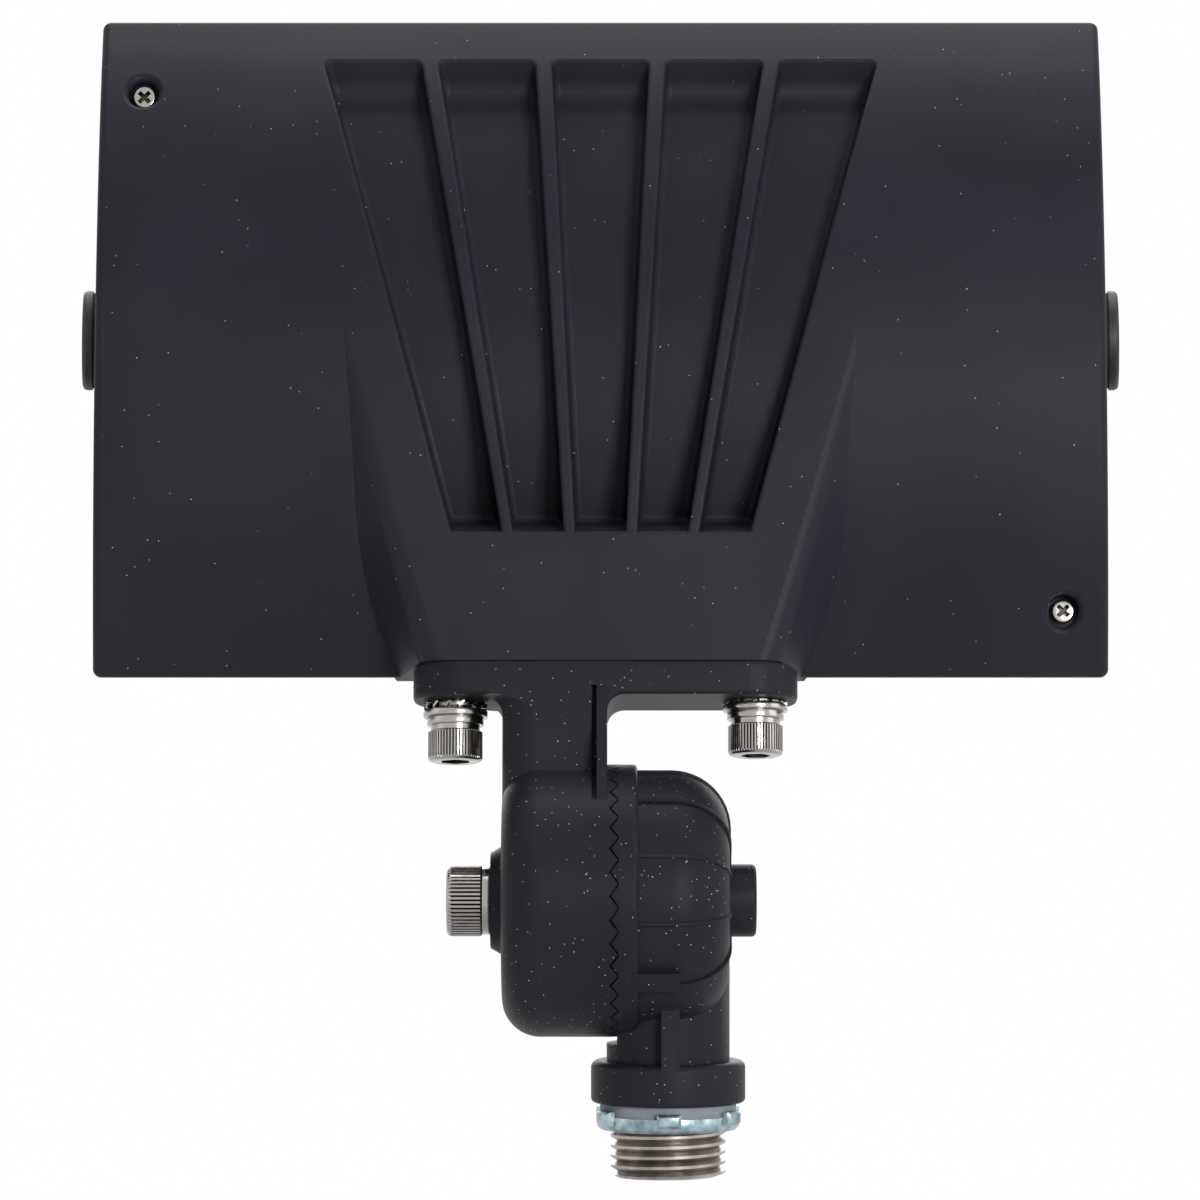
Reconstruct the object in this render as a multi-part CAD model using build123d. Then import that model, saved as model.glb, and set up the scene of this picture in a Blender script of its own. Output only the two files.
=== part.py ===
from build123d import *

import os
from math import cos, radians, sin, sqrt, tan

# LED floodlight with a curved, ribbed back on a toothed knuckle. Millimetres, +Z up.
# The origin is on the nipple's axis, in the collar's lower face. +Y points out of the lamp's glass at rest.

# fits
running_gap = 0.05
thread_gap = 0.05
bolt_gap = 0.3
part_gap = 0.3
tooth_gap = 0.15
crown_gap = 0.12
core_gap = 0.2

# overlap of joined solids, reach of holes past their faces, and the least distance that counts
overlap = 0.1
spare = 1.0
touch = 0.01

# nipple, collar and stem
nipple_radius = 10.5
nipple_neck_radius = 10.2
nipple_length = 13.4
nipple_chamfer = 1.0
nipple_step_drop = 0.2
wire_bore_radius = 7.6
wire_bore_drop = 13.0
collar_radius = 14.05
collar_height = 7.6
collar_fillet = 1.3
collar_foot = 0.8
stem_radius = 11.2
stem_top_drop = 8.0
stem_trim_drop = 12.0
stem_trim_inset = 0.5
disc_room = 1.5
disc_room_rise = 3.1

# seal and locknut
seal_radius = 12.4
seal_thickness = 2.2
locknut_thickness = 2.6
locknut_body_radius = 12.9
locknut_lug_radius = 14.2
locknut_lug_width = 4.4
locknut_lug_rise = 1.0
locknut_lug_height = 2.5
locknut_lugs = 6
locknut_edge = 0.5

# knuckle
pivot_height = 36.6
knuckle_radius = 24.75
seam_x = -10.8
tooth_height = 1.55
tooth_count = 36
tooth_ring = 0.9
tooth_fill = 0.96
tooth_root = 0.4
rim_width = 3.5
rim_rounding = 0.8
dome_radius = 23.6
dome_end_x = 11.0
dome_rounding = 10.5
dome_step = 0.35
dome_sink = 0.5
dome_sector = 30.0
dome_sector_phase = 7.3
hub_radius = 6.6
hub_length = 5.0
hub_rounding = 0.9
joint_cavity_radius = 18.5
joint_wall = 4.2
pillar_radius = 6.8
web_width = 3.3
web_reach = 14.0
web_x = 0.25
shelf_height = 21.3
shelf_thickness = 3.4
shelf_reach = 25.5

# joint seal
joint_seal_radius = 21.2
joint_seal_width = 1.8
joint_seal_depth = 1.3

# arm
arm_end_x = -30.2
arm_rounding = 7.0
arm_boss_radius = 9.9
arm_boss_length = 2.1
arm_boss_taper = 1.25
plate_length = 70.3
plate_depth = 21.0
plate_thickness = 5.4
plate_corner = 9.0
plate_fillet = 0.8
plate_centre_x = -11.4
stem_edge_rounding = 6.0
stem_flare = 3.2
stem_foot_z = 17.0
rib_thickness = 1.9
rib_foot_angle = 40.0
rib_rise = 1.6
rib_groove = 0.9
rib_groove_depth = 2.2
rib_groove_turn = 22.5
rib_flare = 3.2
arm_passage_radius = 5.2
arm_passage_sink = 4.0

# pivot bolt and its spring washer
pivot_bolt_radius = 4.0
pivot_head_radius = 6.5
pivot_head_height = 6.5
pivot_hex = 6.0
pivot_hex_depth = 4.0
pivot_thread_length = 15.0
pivot_hole_extra = 8.0
pivot_washer_radius = 6.2
pivot_washer_thickness = 1.5
washer_split = 0.8
washer_split_turn = 55.0

# plate bolts and their washers
plate_bolt_radius = 3.0
plate_bolt_head_radius = 5.0
plate_bolt_head_height = 5.6
plate_bolt_neck = 1.0
plate_bolt_neck_step = 0.5
plate_bolt_hex = 5.0
plate_bolt_hex_depth = 3.0
plate_bolt_spacing = 54.9
plate_bolt_thread = 10.0
plate_bolt_hole_extra = 2.0
spring_washer_radius = 5.2
spring_washer_thickness = 1.5
flat_washer_radius = 5.9
flat_washer_thickness = 1.2
star_washer_radius = 5.8
star_washer_inner = 4.7
star_washer_teeth = 14
star_tooth_share = 0.55
star_washer_loose = 1.7
star_washer_tight = 0.6
head_edge = 0.5

# lamp head, measured from the pivot in the head's own upright frame
head_tilt = 10.0
head_centre_x = -12.3
head_bottom = 42.6
head_height = 125.7
head_half_width = 92.75
back_radius = 106.6
back_y = -11.0
side_draft = 3.5
end_draft = 10.0
split_y = 20.0
front_y = 35.0
head_corner = 1.6
head_edge_round = 1.4
wall = 3.0
rim_flange = 7.0
rim_flange_depth = 6.0
plate_gasket_thickness = 0.7
gasket_inset = 0.8

# pockets in the back
pocket_count = 5
pocket_top_inset = 9.3
pocket_bottom_rise = 23.6
pocket_top_half = 52.0
pocket_bottom_half = 27.2
pocket_rib_top = 3.2
pocket_rib_bottom = 2.1
pocket_depth = 6.5
pocket_top_run = 5.5
pocket_bottom_slope = 18.0
pocket_floor_round = 1.4
pocket_top_round = 5.0
pocket_lip = 0.6
pocket_wall = 2.5
pocket_reach = 12.0
pocket_slope_rise = 4.0

# flat neck on the back
neck_bottom_half = 32.3
neck_top_half = 48.3
neck_flare_bottom = 4.6
neck_flare_top = 36.6
neck_round = 4.0
neck_wall = 3.0
neck_floor = 4.0
neck_cavity_top = 20.0
neck_sink = 4.0
bolt_boss = 7.4

# rear screws and the pegs on the other corners
screw_x = 85.4
screw_rise = 46.0
screw_drop = 51.1
screw_radius = 1.5
screw_head_radius = 2.2
screw_head_height = 1.9
screw_recess = 2.6
screw_counterbore = 2.9
screw_lip = 1.1
screw_length = 23.0
screw_cross_width = 0.8
screw_cross_depth = 1.1
screw_cross_share = 0.75
screw_cross_turn = 35.0
screw_dome_share = 0.4
screw_hole_extra = 1.0
column_radius = 5.4
peg_radius = 2.4
peg_length = 4.0
peg_hole_extra = 1.0

# side plugs
plug_radius = 9.25
plug_height = 1.8
plug_edge = 0.9
plug_y = 5.0
plug_thread_radius = 7.0
plug_thread_length = 7.0
plug_hole_extra = 2.0
plug_seal_thickness = 0.8
plug_seal_radius = 8.9

# front frame, glass and seals
frame_lip = 3.0
frame_edge = 1.4
window_width = 150.0
window_height = 88.0
window_corner = 6.0
window_chamfer = 1.2
glass_width = 162.0
glass_height = 99.0
glass_thickness = 4.0
glass_corner = 9.0
glass_gap = 0.6
glass_gasket_width = 4.5
glass_gasket_thickness = 1.0
housing_seal_width = 2.2
housing_seal_depth = 1.6
housing_seal_inset = 2.8
housing_seal_corner = 4.0
clip_width = 12.0
clip_seat = 5.2
clip_thickness = 1.0
clip_overlap = 4.0
clip_x = 48.0
clip_screw_radius = 1.25
clip_screw_head = 2.3
clip_screw_head_height = 1.2
clip_screw_length = 4.5

# light engine
heat_plate_width = 150.0
heat_plate_height = 104.0
heat_plate_thickness = 2.5
heat_plate_corner = 4.0
heat_plate_y = 15.0
post_radius = 4.0
post_x = 68.0
post_z = 40.0
post_screw_depth = 8.0
post_screw_reach = 6.0
pad_thickness = 0.5
board_width = 132.0
board_height = 80.0
board_thickness = 1.6
board_corner = 3.0
pad_inset = 2.0
chip_columns = 8
chip_rows = 4
chip_pitch_x = 13.5
chip_pitch_z = 14.5
chip_size = 3.5
chip_height = 0.7
reflector_base_width = 118.0
reflector_base_height = 66.0
reflector_base_corner = 4.0
reflector_mouth_corner = 8.0
reflector_glass_gap = 2.0
reflector_clip_gap = 0.5
reflector_sheet = 1.0
board_screw_x = 62.5
board_screw_z = 36.5
small_screw_radius = 1.5
small_screw_head = 2.6
small_screw_head_height = 1.6
pan_head_round_share = 0.35
pan_head_cross_share = 0.6
pan_head_slot_share = 0.4

# driver
driver_width = 112.0
driver_height = 36.0
driver_depth = 13.4
driver_wall = 1.2
driver_corner = 2.2
driver_ear = 9.0
driver_ear_extra = 1.0
driver_board_inset = 2.0
driver_board_thickness = 1.6
driver_board_standoff = 2.0
standoff_radius = 2.6
standoff_inset = 8.0
driver_part_depth = 18.0
transformer_x = -27.0
transformer_width = 17.0
transformer_height = 6.4
choke_x = 0.0
choke_width = 10.0
choke_height = 5.4
terminal_x = -40.5
terminal_width = 6.0
terminal_height = 3.4
capacitor_x = 13.4
capacitor_pitch = 11.2
capacitor_radius = 4.5
capacitor_height = 6.4
lead_radius = 0.8
lead_gap = 0.4
lead_margin = 1.0
lead_end = 0.6
lead_spacing = 3.0
lead_x = 40.0
earth_screw_radius = 2.0
earth_screw_head = 3.4
earth_screw_head_height = 2.0
earth_screw_length = 6.0
earth_hole_extra = 0.5
earth_screw_x = 10.0
earth_screw_rise = 12.0
earth_boss_radius = 4.2
earth_boss_height = 5.0

# sizes that follow from the ones above
middle_z = head_bottom + head_height / 2
head_top = head_bottom + head_height
arc_centre_y = back_y + back_radius
plate_top = head_bottom - plate_gasket_thickness
plate_under = plate_top - plate_thickness
locknut_bottom = -(seal_thickness + locknut_thickness)
crown_tip_x = seam_x + tooth_height
rim_face_x = crown_tip_x + tooth_gap
rim_end_x = rim_face_x + rim_width
rib_left_x = seam_x - part_gap - rib_thickness
core_radius = knuckle_radius - tooth_ring - crown_gap
core_face_x = seam_x + core_gap
shelf_top = shelf_height + shelf_thickness
stem_centre_x = (arm_end_x + seam_x - part_gap - rib_thickness) / 2
passage_in_head_x = stem_centre_x - head_centre_x
plate_bolt_xs = [plate_centre_x - plate_bolt_spacing / 2, plate_centre_x + plate_bolt_spacing / 2]
star_heights = [star_washer_loose, star_washer_tight]
glass_front_y = front_y - frame_lip - glass_gasket_thickness
glass_back_y = glass_front_y - glass_thickness
board_y = heat_plate_y + heat_plate_thickness + pad_thickness
board_front_y = board_y + board_thickness
earth_screw_z = head_bottom + earth_screw_rise
reflector_seat_y = board_front_y + reflector_sheet
reflector_mouth_width = glass_width - 2 * reflector_glass_gap
reflector_mouth_height = glass_height - 2 * (clip_overlap + reflector_clip_gap)
driver_board_y = heat_plate_y - driver_depth + driver_wall + driver_board_standoff
driver_board_front_y = driver_board_y + driver_board_thickness
pocket_low_z = head_bottom + pocket_bottom_rise
pocket_high_z = head_top - pocket_top_inset
rib_top_z = plate_under + rib_rise
rib_foot_y = knuckle_radius * cos(radians(rib_foot_angle))
rib_foot_z = knuckle_radius * sin(radians(rib_foot_angle))
earth_face_y = back_y + neck_wall + earth_boss_height
far = 150.0


def turned_x(shape, x=0.0, y=0.0, z=0.0):
    """A solid modelled along +Z, laid along +X."""
    return Pos(x, y, z) * Rot(0, 90, 0) * shape


def rod_x(radius, start, end, y=0.0, z=0.0):
    return turned_x(Cylinder(radius, end - start), (start + end) / 2, y, z)


def rod_y(radius, start, end, x=0.0, z=0.0):
    return Pos(x, (start + end) / 2, z) * Rot(90, 0, 0) * Cylinder(radius, end - start)


def rod_z(radius, start, end, x=0.0, y=0.0):
    return Pos(x, y, (start + end) / 2) * Cylinder(radius, end - start)


def hole_x(radius, start, end, y=0.0, z=0.0):
    """What a through hole takes away, a little longer than the wall at both ends."""
    return rod_x(radius, start - spare, end + spare, y, z)


def hole_y(radius, start, end, x=0.0, z=0.0):
    return rod_y(radius, start - spare, end + spare, x, z)


def hole_z(radius, start, end, x=0.0, y=0.0):
    return rod_z(radius, start - spare, end + spare, x, y)


def block(x0, x1, y0, y1, z0, z1):
    return Pos((x0 + x1) / 2, (y0 + y1) / 2, (z0 + z1) / 2) * Box(x1 - x0, y1 - y0, z1 - z0)


def slab(width, height, corner, start_y, end_y):
    """A plate in the head's frame, square to Y and centred on the head."""
    outline = Plane.XZ.offset(-start_y) * Pos(0, middle_z) * RectangleRounded(width, height, corner)
    return extrude(outline, -(end_y - start_y))


def outline_slab(points, start_y, end_y):
    """A prism along Y from corner points given as (x, z)."""
    face = Plane.XZ.offset(-start_y) * make_face(Polyline(*points, close=True))
    return extrude(face, -(end_y - start_y))


def on_arm(shape):
    return Pos(0, 0, pivot_height) * Rot(-head_tilt, 0, 0) * shape


def on_head(shape):
    return on_arm(Pos(head_centre_x, 0, 0) * shape)


# Knuckle base


def dome_surface(radius):
    """The base's round body with its far end rounded."""
    body = rod_x(radius, rim_end_x - dome_sink, dome_end_x)
    far_edge = body.edges().filter_by(GeomType.CIRCLE).sort_by(Axis.X)[-1]
    return fillet(far_edge, dome_rounding)


def dome_sectors():
    """Six wedges around the dome's axis, one for each raised field."""
    half = radians(dome_sector / 2)
    reach = 2 * knuckle_radius
    side = reach * sin(half)
    wedge = make_face(Polyline((0, 0), (reach * cos(half), -side), (reach * cos(half), side), close=True))
    prism = extrude(Plane.YZ.offset(rim_end_x - spare) * wedge, dome_end_x - rim_end_x + 2 * spare)
    first = dome_sector_phase - dome_sector / 2
    return Part() + [Rot(first + 2 * dome_sector * n, 0, 0) * prism for n in range(int(180 / dome_sector))]


def base_knuckle():
    """The base's toothless core, rim, dome and hub, around the tilt axis."""
    rim = rod_x(knuckle_radius, rim_face_x, rim_end_x)
    rim = fillet(rim.edges().filter_by(GeomType.CIRCLE).sort_by(Axis.X)[-1], rim_rounding)
    core = rod_x(core_radius, core_face_x, rim_face_x + spare)
    fields = dome_surface(dome_radius) & dome_sectors()
    knuckle = rim + core + dome_surface(dome_radius - dome_step) + fields
    knuckle += rod_x(hub_radius, 0, dome_end_x + hub_length)
    hub_edge = knuckle.edges().filter_by(GeomType.CIRCLE).sort_by(Axis.X)[-1]
    return Pos(0, 0, pivot_height) * fillet(hub_edge, hub_rounding)


def base_stem():
    """The round stem above the collar, trimmed clear of the arm's disc and of the dome."""
    stem = rod_z(stem_radius, collar_height - spare, pivot_height - stem_top_drop)
    stem -= block(-far, seam_x + disc_room, -far, far, collar_height + disc_room_rise, far)
    trimmed_radius = knuckle_radius - stem_trim_inset
    inside = rod_x(trimmed_radius, rim_face_x, dome_end_x + stem_trim_inset, z=pivot_height)
    return stem - (block(0, far, -far, far, pivot_height - stem_trim_drop, far) - inside)


def web_and_shelf():
    """The upright web on the stem's front and the shelf that ties it to the knuckle."""
    right = web_x + web_width / 2
    web = block(web_x - web_width / 2, right, -web_reach, 0, collar_height - spare, shelf_top)
    left = rim_end_x - spare
    shelf = block(left, right, -shelf_reach, 0, shelf_height, shelf_top)
    return web + (shelf & rod_x(knuckle_radius, left - spare, dome_end_x, z=pivot_height))


def collar_and_nipple():
    collar = rod_z(collar_radius, 0, collar_height)
    collar = fillet(collar.edges().filter_by(GeomType.CIRCLE).sort_by(Axis.Z)[-1], collar_fillet)
    collar = fillet(collar.edges().filter_by(GeomType.CIRCLE).sort_by(Axis.Z)[0], collar_foot)
    nipple_top = locknut_bottom - nipple_step_drop
    nipple = rod_z(nipple_radius, -nipple_length, nipple_top)
    nipple = chamfer(nipple.edges().filter_by(GeomType.CIRCLE).sort_by(Axis.Z)[0], nipple_chamfer)
    return collar + nipple + rod_z(nipple_neck_radius, nipple_top - overlap, overlap)


def knuckle_base():
    solid = base_knuckle() + base_stem() + web_and_shelf() + collar_and_nipple()
    cavity = rod_x(joint_cavity_radius, core_face_x - spare, dome_end_x - joint_wall)
    far_edge = cavity.edges().filter_by(GeomType.CIRCLE).sort_by(Axis.X)[-1]
    cavity = fillet(far_edge, dome_rounding - joint_wall)
    cavity -= rod_x(pillar_radius, core_face_x - 2 * spare, dome_end_x)
    solid -= Pos(0, 0, pivot_height) * cavity
    solid -= rod_z(wire_bore_radius, -nipple_length - spare, pivot_height - wire_bore_drop)
    bolt_start = core_face_x - 2 * spare
    bolt_end = seam_x + pivot_thread_length + pivot_hole_extra
    solid -= rod_x(pivot_bolt_radius + thread_gap, bolt_start, bolt_end, z=pivot_height)
    groove_end = core_face_x + joint_seal_depth
    groove = rod_x(joint_seal_radius, core_face_x - spare, groove_end)
    groove -= rod_x(joint_seal_radius - joint_seal_width, core_face_x - 2 * spare, groove_end + spare)
    return solid - Pos(0, 0, pivot_height) * groove


def joint_seal():
    end = core_face_x + joint_seal_depth
    ring = rod_x(joint_seal_radius, core_face_x, end)
    ring -= hole_x(joint_seal_radius - joint_seal_width, core_face_x, end)
    return Pos(0, 0, pivot_height) * ring


# Seal and locknut on the nipple


def seal_ring():
    return rod_z(seal_radius, -seal_thickness, 0) - hole_z(nipple_radius + bolt_gap, -seal_thickness, 0)


def locknut():
    """A flat ring with lugs that stand up around the seal."""
    top = -seal_thickness
    nut = rod_z(locknut_body_radius, locknut_bottom, top)
    nut = chamfer(nut.edges().filter_by(GeomType.CIRCLE).sort_by(Axis.Z)[0], locknut_edge)
    lug_top = top + locknut_lug_rise
    lug_low = lug_top - locknut_lug_height
    half = locknut_lug_width / 2
    lug = block(0, locknut_lug_radius + spare, -half, half, lug_low, lug_top)
    lug &= rod_z(locknut_lug_radius, lug_low, lug_top) - hole_z(seal_radius + part_gap, lug_low, lug_top)
    lug = chamfer(lug.faces().sort_by(Axis.X)[-1].edges(), locknut_edge)
    for n in range(locknut_lugs):
        nut += Rot(0, 0, 360 / locknut_lugs * (n + 0.5)) * lug
    return nut - hole_z(nipple_radius + running_gap, locknut_bottom, lug_top)


# Arm


def crown_tooth():
    """One face tooth of the arm, standing in a thin ring that reaches over the base's plain core."""
    half = radians(180 / tooth_count) * knuckle_radius * tooth_fill
    root_x = seam_x - tooth_root
    corners = [(root_x, -half), (seam_x, -half), (crown_tip_x, 0), (seam_x, half), (root_x, half)]
    outline = make_face(Polyline(*corners, close=True))
    inner_radius = knuckle_radius - tooth_ring
    tooth = extrude(Plane.XY.offset(inner_radius - spare) * outline, tooth_ring + 2 * spare)
    start = root_x - spare
    end = crown_tip_x + spare
    return tooth & (rod_x(knuckle_radius, start, end) - hole_x(inner_radius, start, end))


def corner_at(face, x, z):
    """A drawn outline's vertices at one place."""
    return face.vertices().filter_by(lambda v: abs(v.X - x) < touch and abs(v.Y - z) < touch)


def plate_and_stem():
    """Plate and stem in one piece with flush faces, and a concave round on each side of the stem."""
    left = plate_centre_x - plate_length / 2
    right = plate_centre_x + plate_length / 2
    stem_right = rib_left_x + rib_thickness
    outline = make_face(
        Polyline(
            (left, plate_top),
            (right, plate_top),
            (right, plate_under),
            (stem_right, plate_under),
            (stem_right, stem_foot_z),
            (arm_end_x, stem_foot_z),
            (arm_end_x, plate_under),
            (left, plate_under),
            close=True,
        )
    )
    for x, flare in ((arm_end_x, stem_flare), (stem_right, rib_flare)):
        outline = fillet(corner_at(outline, x, plate_under), flare)
    body = extrude(Plane.XZ * outline, plate_depth / 2, both=True)
    plan = Pos(plate_centre_x, 0, 0) * RectangleRounded(plate_length, plate_depth, plate_corner)
    body &= extrude(plan, plate_top + spare)
    return fillet(lower_rim(body), plate_fillet)


def lower_rim(body):
    """The edges around the plate's underside and down the stem's two faces."""
    rim = []
    for edge in body.edges():
        centre = edge.center()
        on_face = abs(abs(centre.Y) - plate_depth / 2) < touch
        on_end = abs(centre.X - plate_centre_x) > (plate_length - plate_corner) / 2
        if (on_face or on_end) and stem_foot_z + touch < centre.Z < plate_under + touch:
            rim.append(edge)
    return rim


def stem_corner_cutter():
    """What the large rounding takes off the stem's far corners, with a concave sweep under the plate."""
    corner_x = arm_end_x + stem_edge_rounding
    corner_y = plate_depth / 2 - stem_edge_rounding
    wide = stem_edge_rounding + stem_flare
    keep_face = make_face(
        Polyline(
            (0, stem_foot_z - spare),
            (stem_edge_rounding, stem_foot_z - spare),
            (stem_edge_rounding, plate_under),
            (wide + spare, plate_under),
            (wide + spare, plate_under + spare),
            (0, plate_under + spare),
            close=True,
        )
    )
    inner = corner_at(keep_face, stem_edge_rounding, plate_under)
    keep = revolve(Plane.XZ * fillet(inner, stem_flare), Axis.Z, 360)
    low = stem_foot_z - spare / 2
    cutters = []
    for side in (-1, 1):
        near, far_off = sorted((side * corner_y, side * (plate_depth / 2 + spare)))
        corner = block(arm_end_x - wide, corner_x, near, far_off, low, plate_under)
        cutters.append(corner - Pos(corner_x, side * corner_y) * keep)
    return cutters


def side_rib():
    """The toothed disc carried up to the plate in a thin rib."""
    half = plate_depth / 2
    outline = Polyline(
        (-rib_foot_y, rib_foot_z),
        (-half, rib_top_z),
        (half, rib_top_z),
        (rib_foot_y, rib_foot_z),
        (0, rib_foot_z / 2),
        close=True,
    )
    return extrude(Plane.YZ.offset(rib_left_x) * make_face(outline), rib_thickness)


def rib_groove_cutters():
    """The groove between the stem and the side rib, on both faces, that runs out at the disc."""
    floor_y = plate_depth / 2 - rib_groove_depth
    cutters = []
    for side in (-1, 1):
        outline = Polyline(
            (side * floor_y, rib_top_z),
            (side * far, rib_top_z),
            (side * far, rib_foot_z),
            (side * rib_foot_y, rib_foot_z),
            (side * floor_y, rib_groove_turn),
            close=True,
        )
        cutters.append(extrude(Plane.YZ.offset(rib_left_x - rib_groove) * make_face(outline), rib_groove))
    return cutters


def knuckle_arm():
    disc = rod_x(knuckle_radius, arm_end_x, seam_x)
    disc = fillet(disc.edges().filter_by(GeomType.CIRCLE).sort_by(Axis.X)[0], arm_rounding)
    boss = Cone(arm_boss_radius, arm_boss_radius - arm_boss_taper, arm_boss_length)
    disc += turned_x(Rot(180, 0, 0) * boss, arm_end_x - arm_boss_length / 2)

    stem = plate_and_stem() - stem_corner_cutter()
    solid = disc + stem - rib_groove_cutters() + side_rib()
    tooth = crown_tooth()
    solid = solid.fuse(*[Rot(360 / tooth_count * n, 0, 0) * tooth for n in range(tooth_count)])

    cavity = rod_x(joint_cavity_radius, arm_end_x + joint_wall, seam_x + spare)
    cavity -= rod_x(pillar_radius, arm_end_x, seam_x)
    solid -= cavity
    solid -= hole_x(pivot_bolt_radius + running_gap, arm_end_x - arm_boss_length, seam_x)
    passage_start = joint_cavity_radius - arm_passage_sink
    solid -= rod_z(arm_passage_radius, passage_start, plate_top + spare, x=stem_centre_x)
    for x in plate_bolt_xs:
        solid -= hole_z(plate_bolt_radius + bolt_gap, plate_under, plate_top, x=x)
    return on_arm(solid)


def plate_gasket():
    length = plate_length - 2 * gasket_inset
    depth = plate_depth - 2 * gasket_inset
    outline = RectangleRounded(length, depth, plate_corner - gasket_inset)
    sheet = Pos(plate_centre_x, 0, plate_top) * extrude(outline, plate_gasket_thickness)
    sheet -= hole_z(arm_passage_radius, plate_top, head_bottom, x=stem_centre_x)
    for x in plate_bolt_xs:
        sheet -= hole_z(plate_bolt_radius + bolt_gap, plate_top, head_bottom, x=x)
    return on_arm(sheet)


# Bolts and washers


def socket_head(radius, height, hex_size, hex_depth):
    """A socket head from z = 0 down to -height, with its hexagon open at the bottom."""
    head = rod_z(radius, -height, 0)
    head = chamfer(head.edges().filter_by(GeomType.CIRCLE).sort_by(Axis.Z)[0], head_edge)
    socket = extrude(RegularPolygon(hex_size / 2, 6, major_radius=False), hex_depth)
    return head - Pos(0, 0, -height) * socket


def ring_washer(inner, outer, thickness, split=0.0):
    ring = rod_z(outer, 0, thickness) - hole_z(inner, 0, thickness)
    if split > 0:
        slot = block(0, outer + spare, -split / 2, split / 2, -spare, thickness + spare)
        ring -= Rot(0, 0, washer_split_turn) * slot
    return ring


def star_washer(height):
    ring = rod_z(star_washer_inner, 0, height)
    step = 360 / star_washer_teeth
    tooth_half = radians(step / 2) * star_washer_radius * star_tooth_share
    tooth = block(0, star_washer_radius + spare, -tooth_half, tooth_half, 0, height)
    tooth &= rod_z(star_washer_radius, 0, height)
    for n in range(star_washer_teeth):
        ring += Rot(0, 0, step * n) * tooth
    return ring - hole_z(plate_bolt_radius + bolt_gap, 0, height)


def plate_stack():
    """Heights under the plate, one set for each bolt: star washer, flat washer, spring washer, head."""
    stacks = []
    for x, star in zip(plate_bolt_xs, star_heights):
        star_z = plate_under - star
        flat_z = star_z - flat_washer_thickness
        spring_z = flat_z - spring_washer_thickness
        stacks.append((x, star, star_z, flat_z, spring_z))
    return stacks


def star_washers():
    return on_arm(Part() + [Pos(x, 0, z) * star_washer(star) for x, star, z, _, _ in plate_stack()])


def flat_washers():
    washer = ring_washer(plate_bolt_radius + bolt_gap, flat_washer_radius, flat_washer_thickness)
    return on_arm(Part() + [Pos(x, 0, z) * washer for x, _, _, z, _ in plate_stack()])


def spring_washers():
    inner = plate_bolt_radius + bolt_gap
    washer = ring_washer(inner, spring_washer_radius, spring_washer_thickness, washer_split)
    return on_arm(Part() + [Pos(x, 0, z) * washer for x, _, _, _, z in plate_stack()])


def plate_bolts():
    shank = plate_bolt_thread + plate_gasket_thickness + plate_thickness
    shank += star_washer_tight + flat_washer_thickness + spring_washer_thickness
    bolt = rod_z(plate_bolt_radius, -plate_bolt_neck, shank)
    bolt += rod_z(plate_bolt_head_radius - plate_bolt_neck_step, -plate_bolt_neck, 0)
    head = socket_head(plate_bolt_head_radius, plate_bolt_head_height, plate_bolt_hex, plate_bolt_hex_depth)
    bolt += Pos(0, 0, -plate_bolt_neck) * head
    return on_arm(Part() + [Pos(x, 0, z) * bolt for x, _, _, _, z in plate_stack()])


def pivot_washer():
    inner = pivot_bolt_radius + bolt_gap
    washer = ring_washer(inner, pivot_washer_radius, pivot_washer_thickness, washer_split)
    start = arm_end_x - arm_boss_length - pivot_washer_thickness
    return Pos(0, 0, pivot_height) * turned_x(washer, start)


def pivot_bolt():
    seat = arm_end_x - arm_boss_length - pivot_washer_thickness
    end = seam_x + pivot_thread_length
    bolt = rod_x(pivot_bolt_radius, seat - spare, end)
    bolt += turned_x(socket_head(pivot_head_radius, pivot_head_height, pivot_hex, pivot_hex_depth), seat)
    return Pos(0, 0, pivot_height) * bolt


# Lamp head: the curved back


def half_width(y):
    return head_half_width + (y - back_y) * tan(radians(side_draft))


def arc_y(radius, z):
    return arc_centre_y - sqrt(radius**2 - (z - middle_z) ** 2)


def end_inset(back, front):
    """How far the top and bottom walls come in over a stretch of depth."""
    return (front - back) * tan(radians(end_draft))


def frame_inset(y):
    """The same, from the end of the outer arc."""
    return end_inset(arc_y(back_radius, head_bottom), y)


def edges_along_y(solid):
    """The edges that run from the back toward the front."""
    return solid.edges().filter_by(lambda e: abs(e.tangent_at(0.5).Y) > 0.9)


def back_section(radius, inset, front):
    """The head's side outline: an arc at the back, top and bottom walls that come in toward the front."""
    low = head_bottom + inset
    high = head_top - inset
    arc_end = arc_y(radius, low)
    rise = end_inset(arc_end, front)
    outline = ThreePointArc((arc_end, low), (arc_centre_y - radius, middle_z), (arc_end, high))
    outline += Polyline((arc_end, high), (front, high - rise), (front, low + rise), (arc_end, low))
    return make_face(outline)


def plan_prism(inset, back, front):
    """The head's plan outline with drafted sides, as tall as the head and more."""
    back_half = half_width(back) - inset
    front_half = half_width(front) - inset
    corners = [(-back_half, back), (back_half, back), (front_half, front), (-front_half, front)]
    return extrude(make_face(Polyline(*corners, close=True)), head_top + spare)


def back_shell(radius, inset, front):
    body = extrude(Plane.YZ * back_section(radius, inset, front), far, both=True)
    return body & plan_prism(inset, back_y - spare, front)


def fan_half(z):
    """Half the width of the pocket fan at a height."""
    share = (z - pocket_low_z) / (pocket_high_z - pocket_low_z)
    return pocket_bottom_half + (pocket_top_half - pocket_bottom_half) * share


def rib_width(z):
    share = (z - pocket_low_z) / (pocket_high_z - pocket_low_z)
    return pocket_rib_bottom + (pocket_rib_top - pocket_rib_bottom) * share


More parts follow.
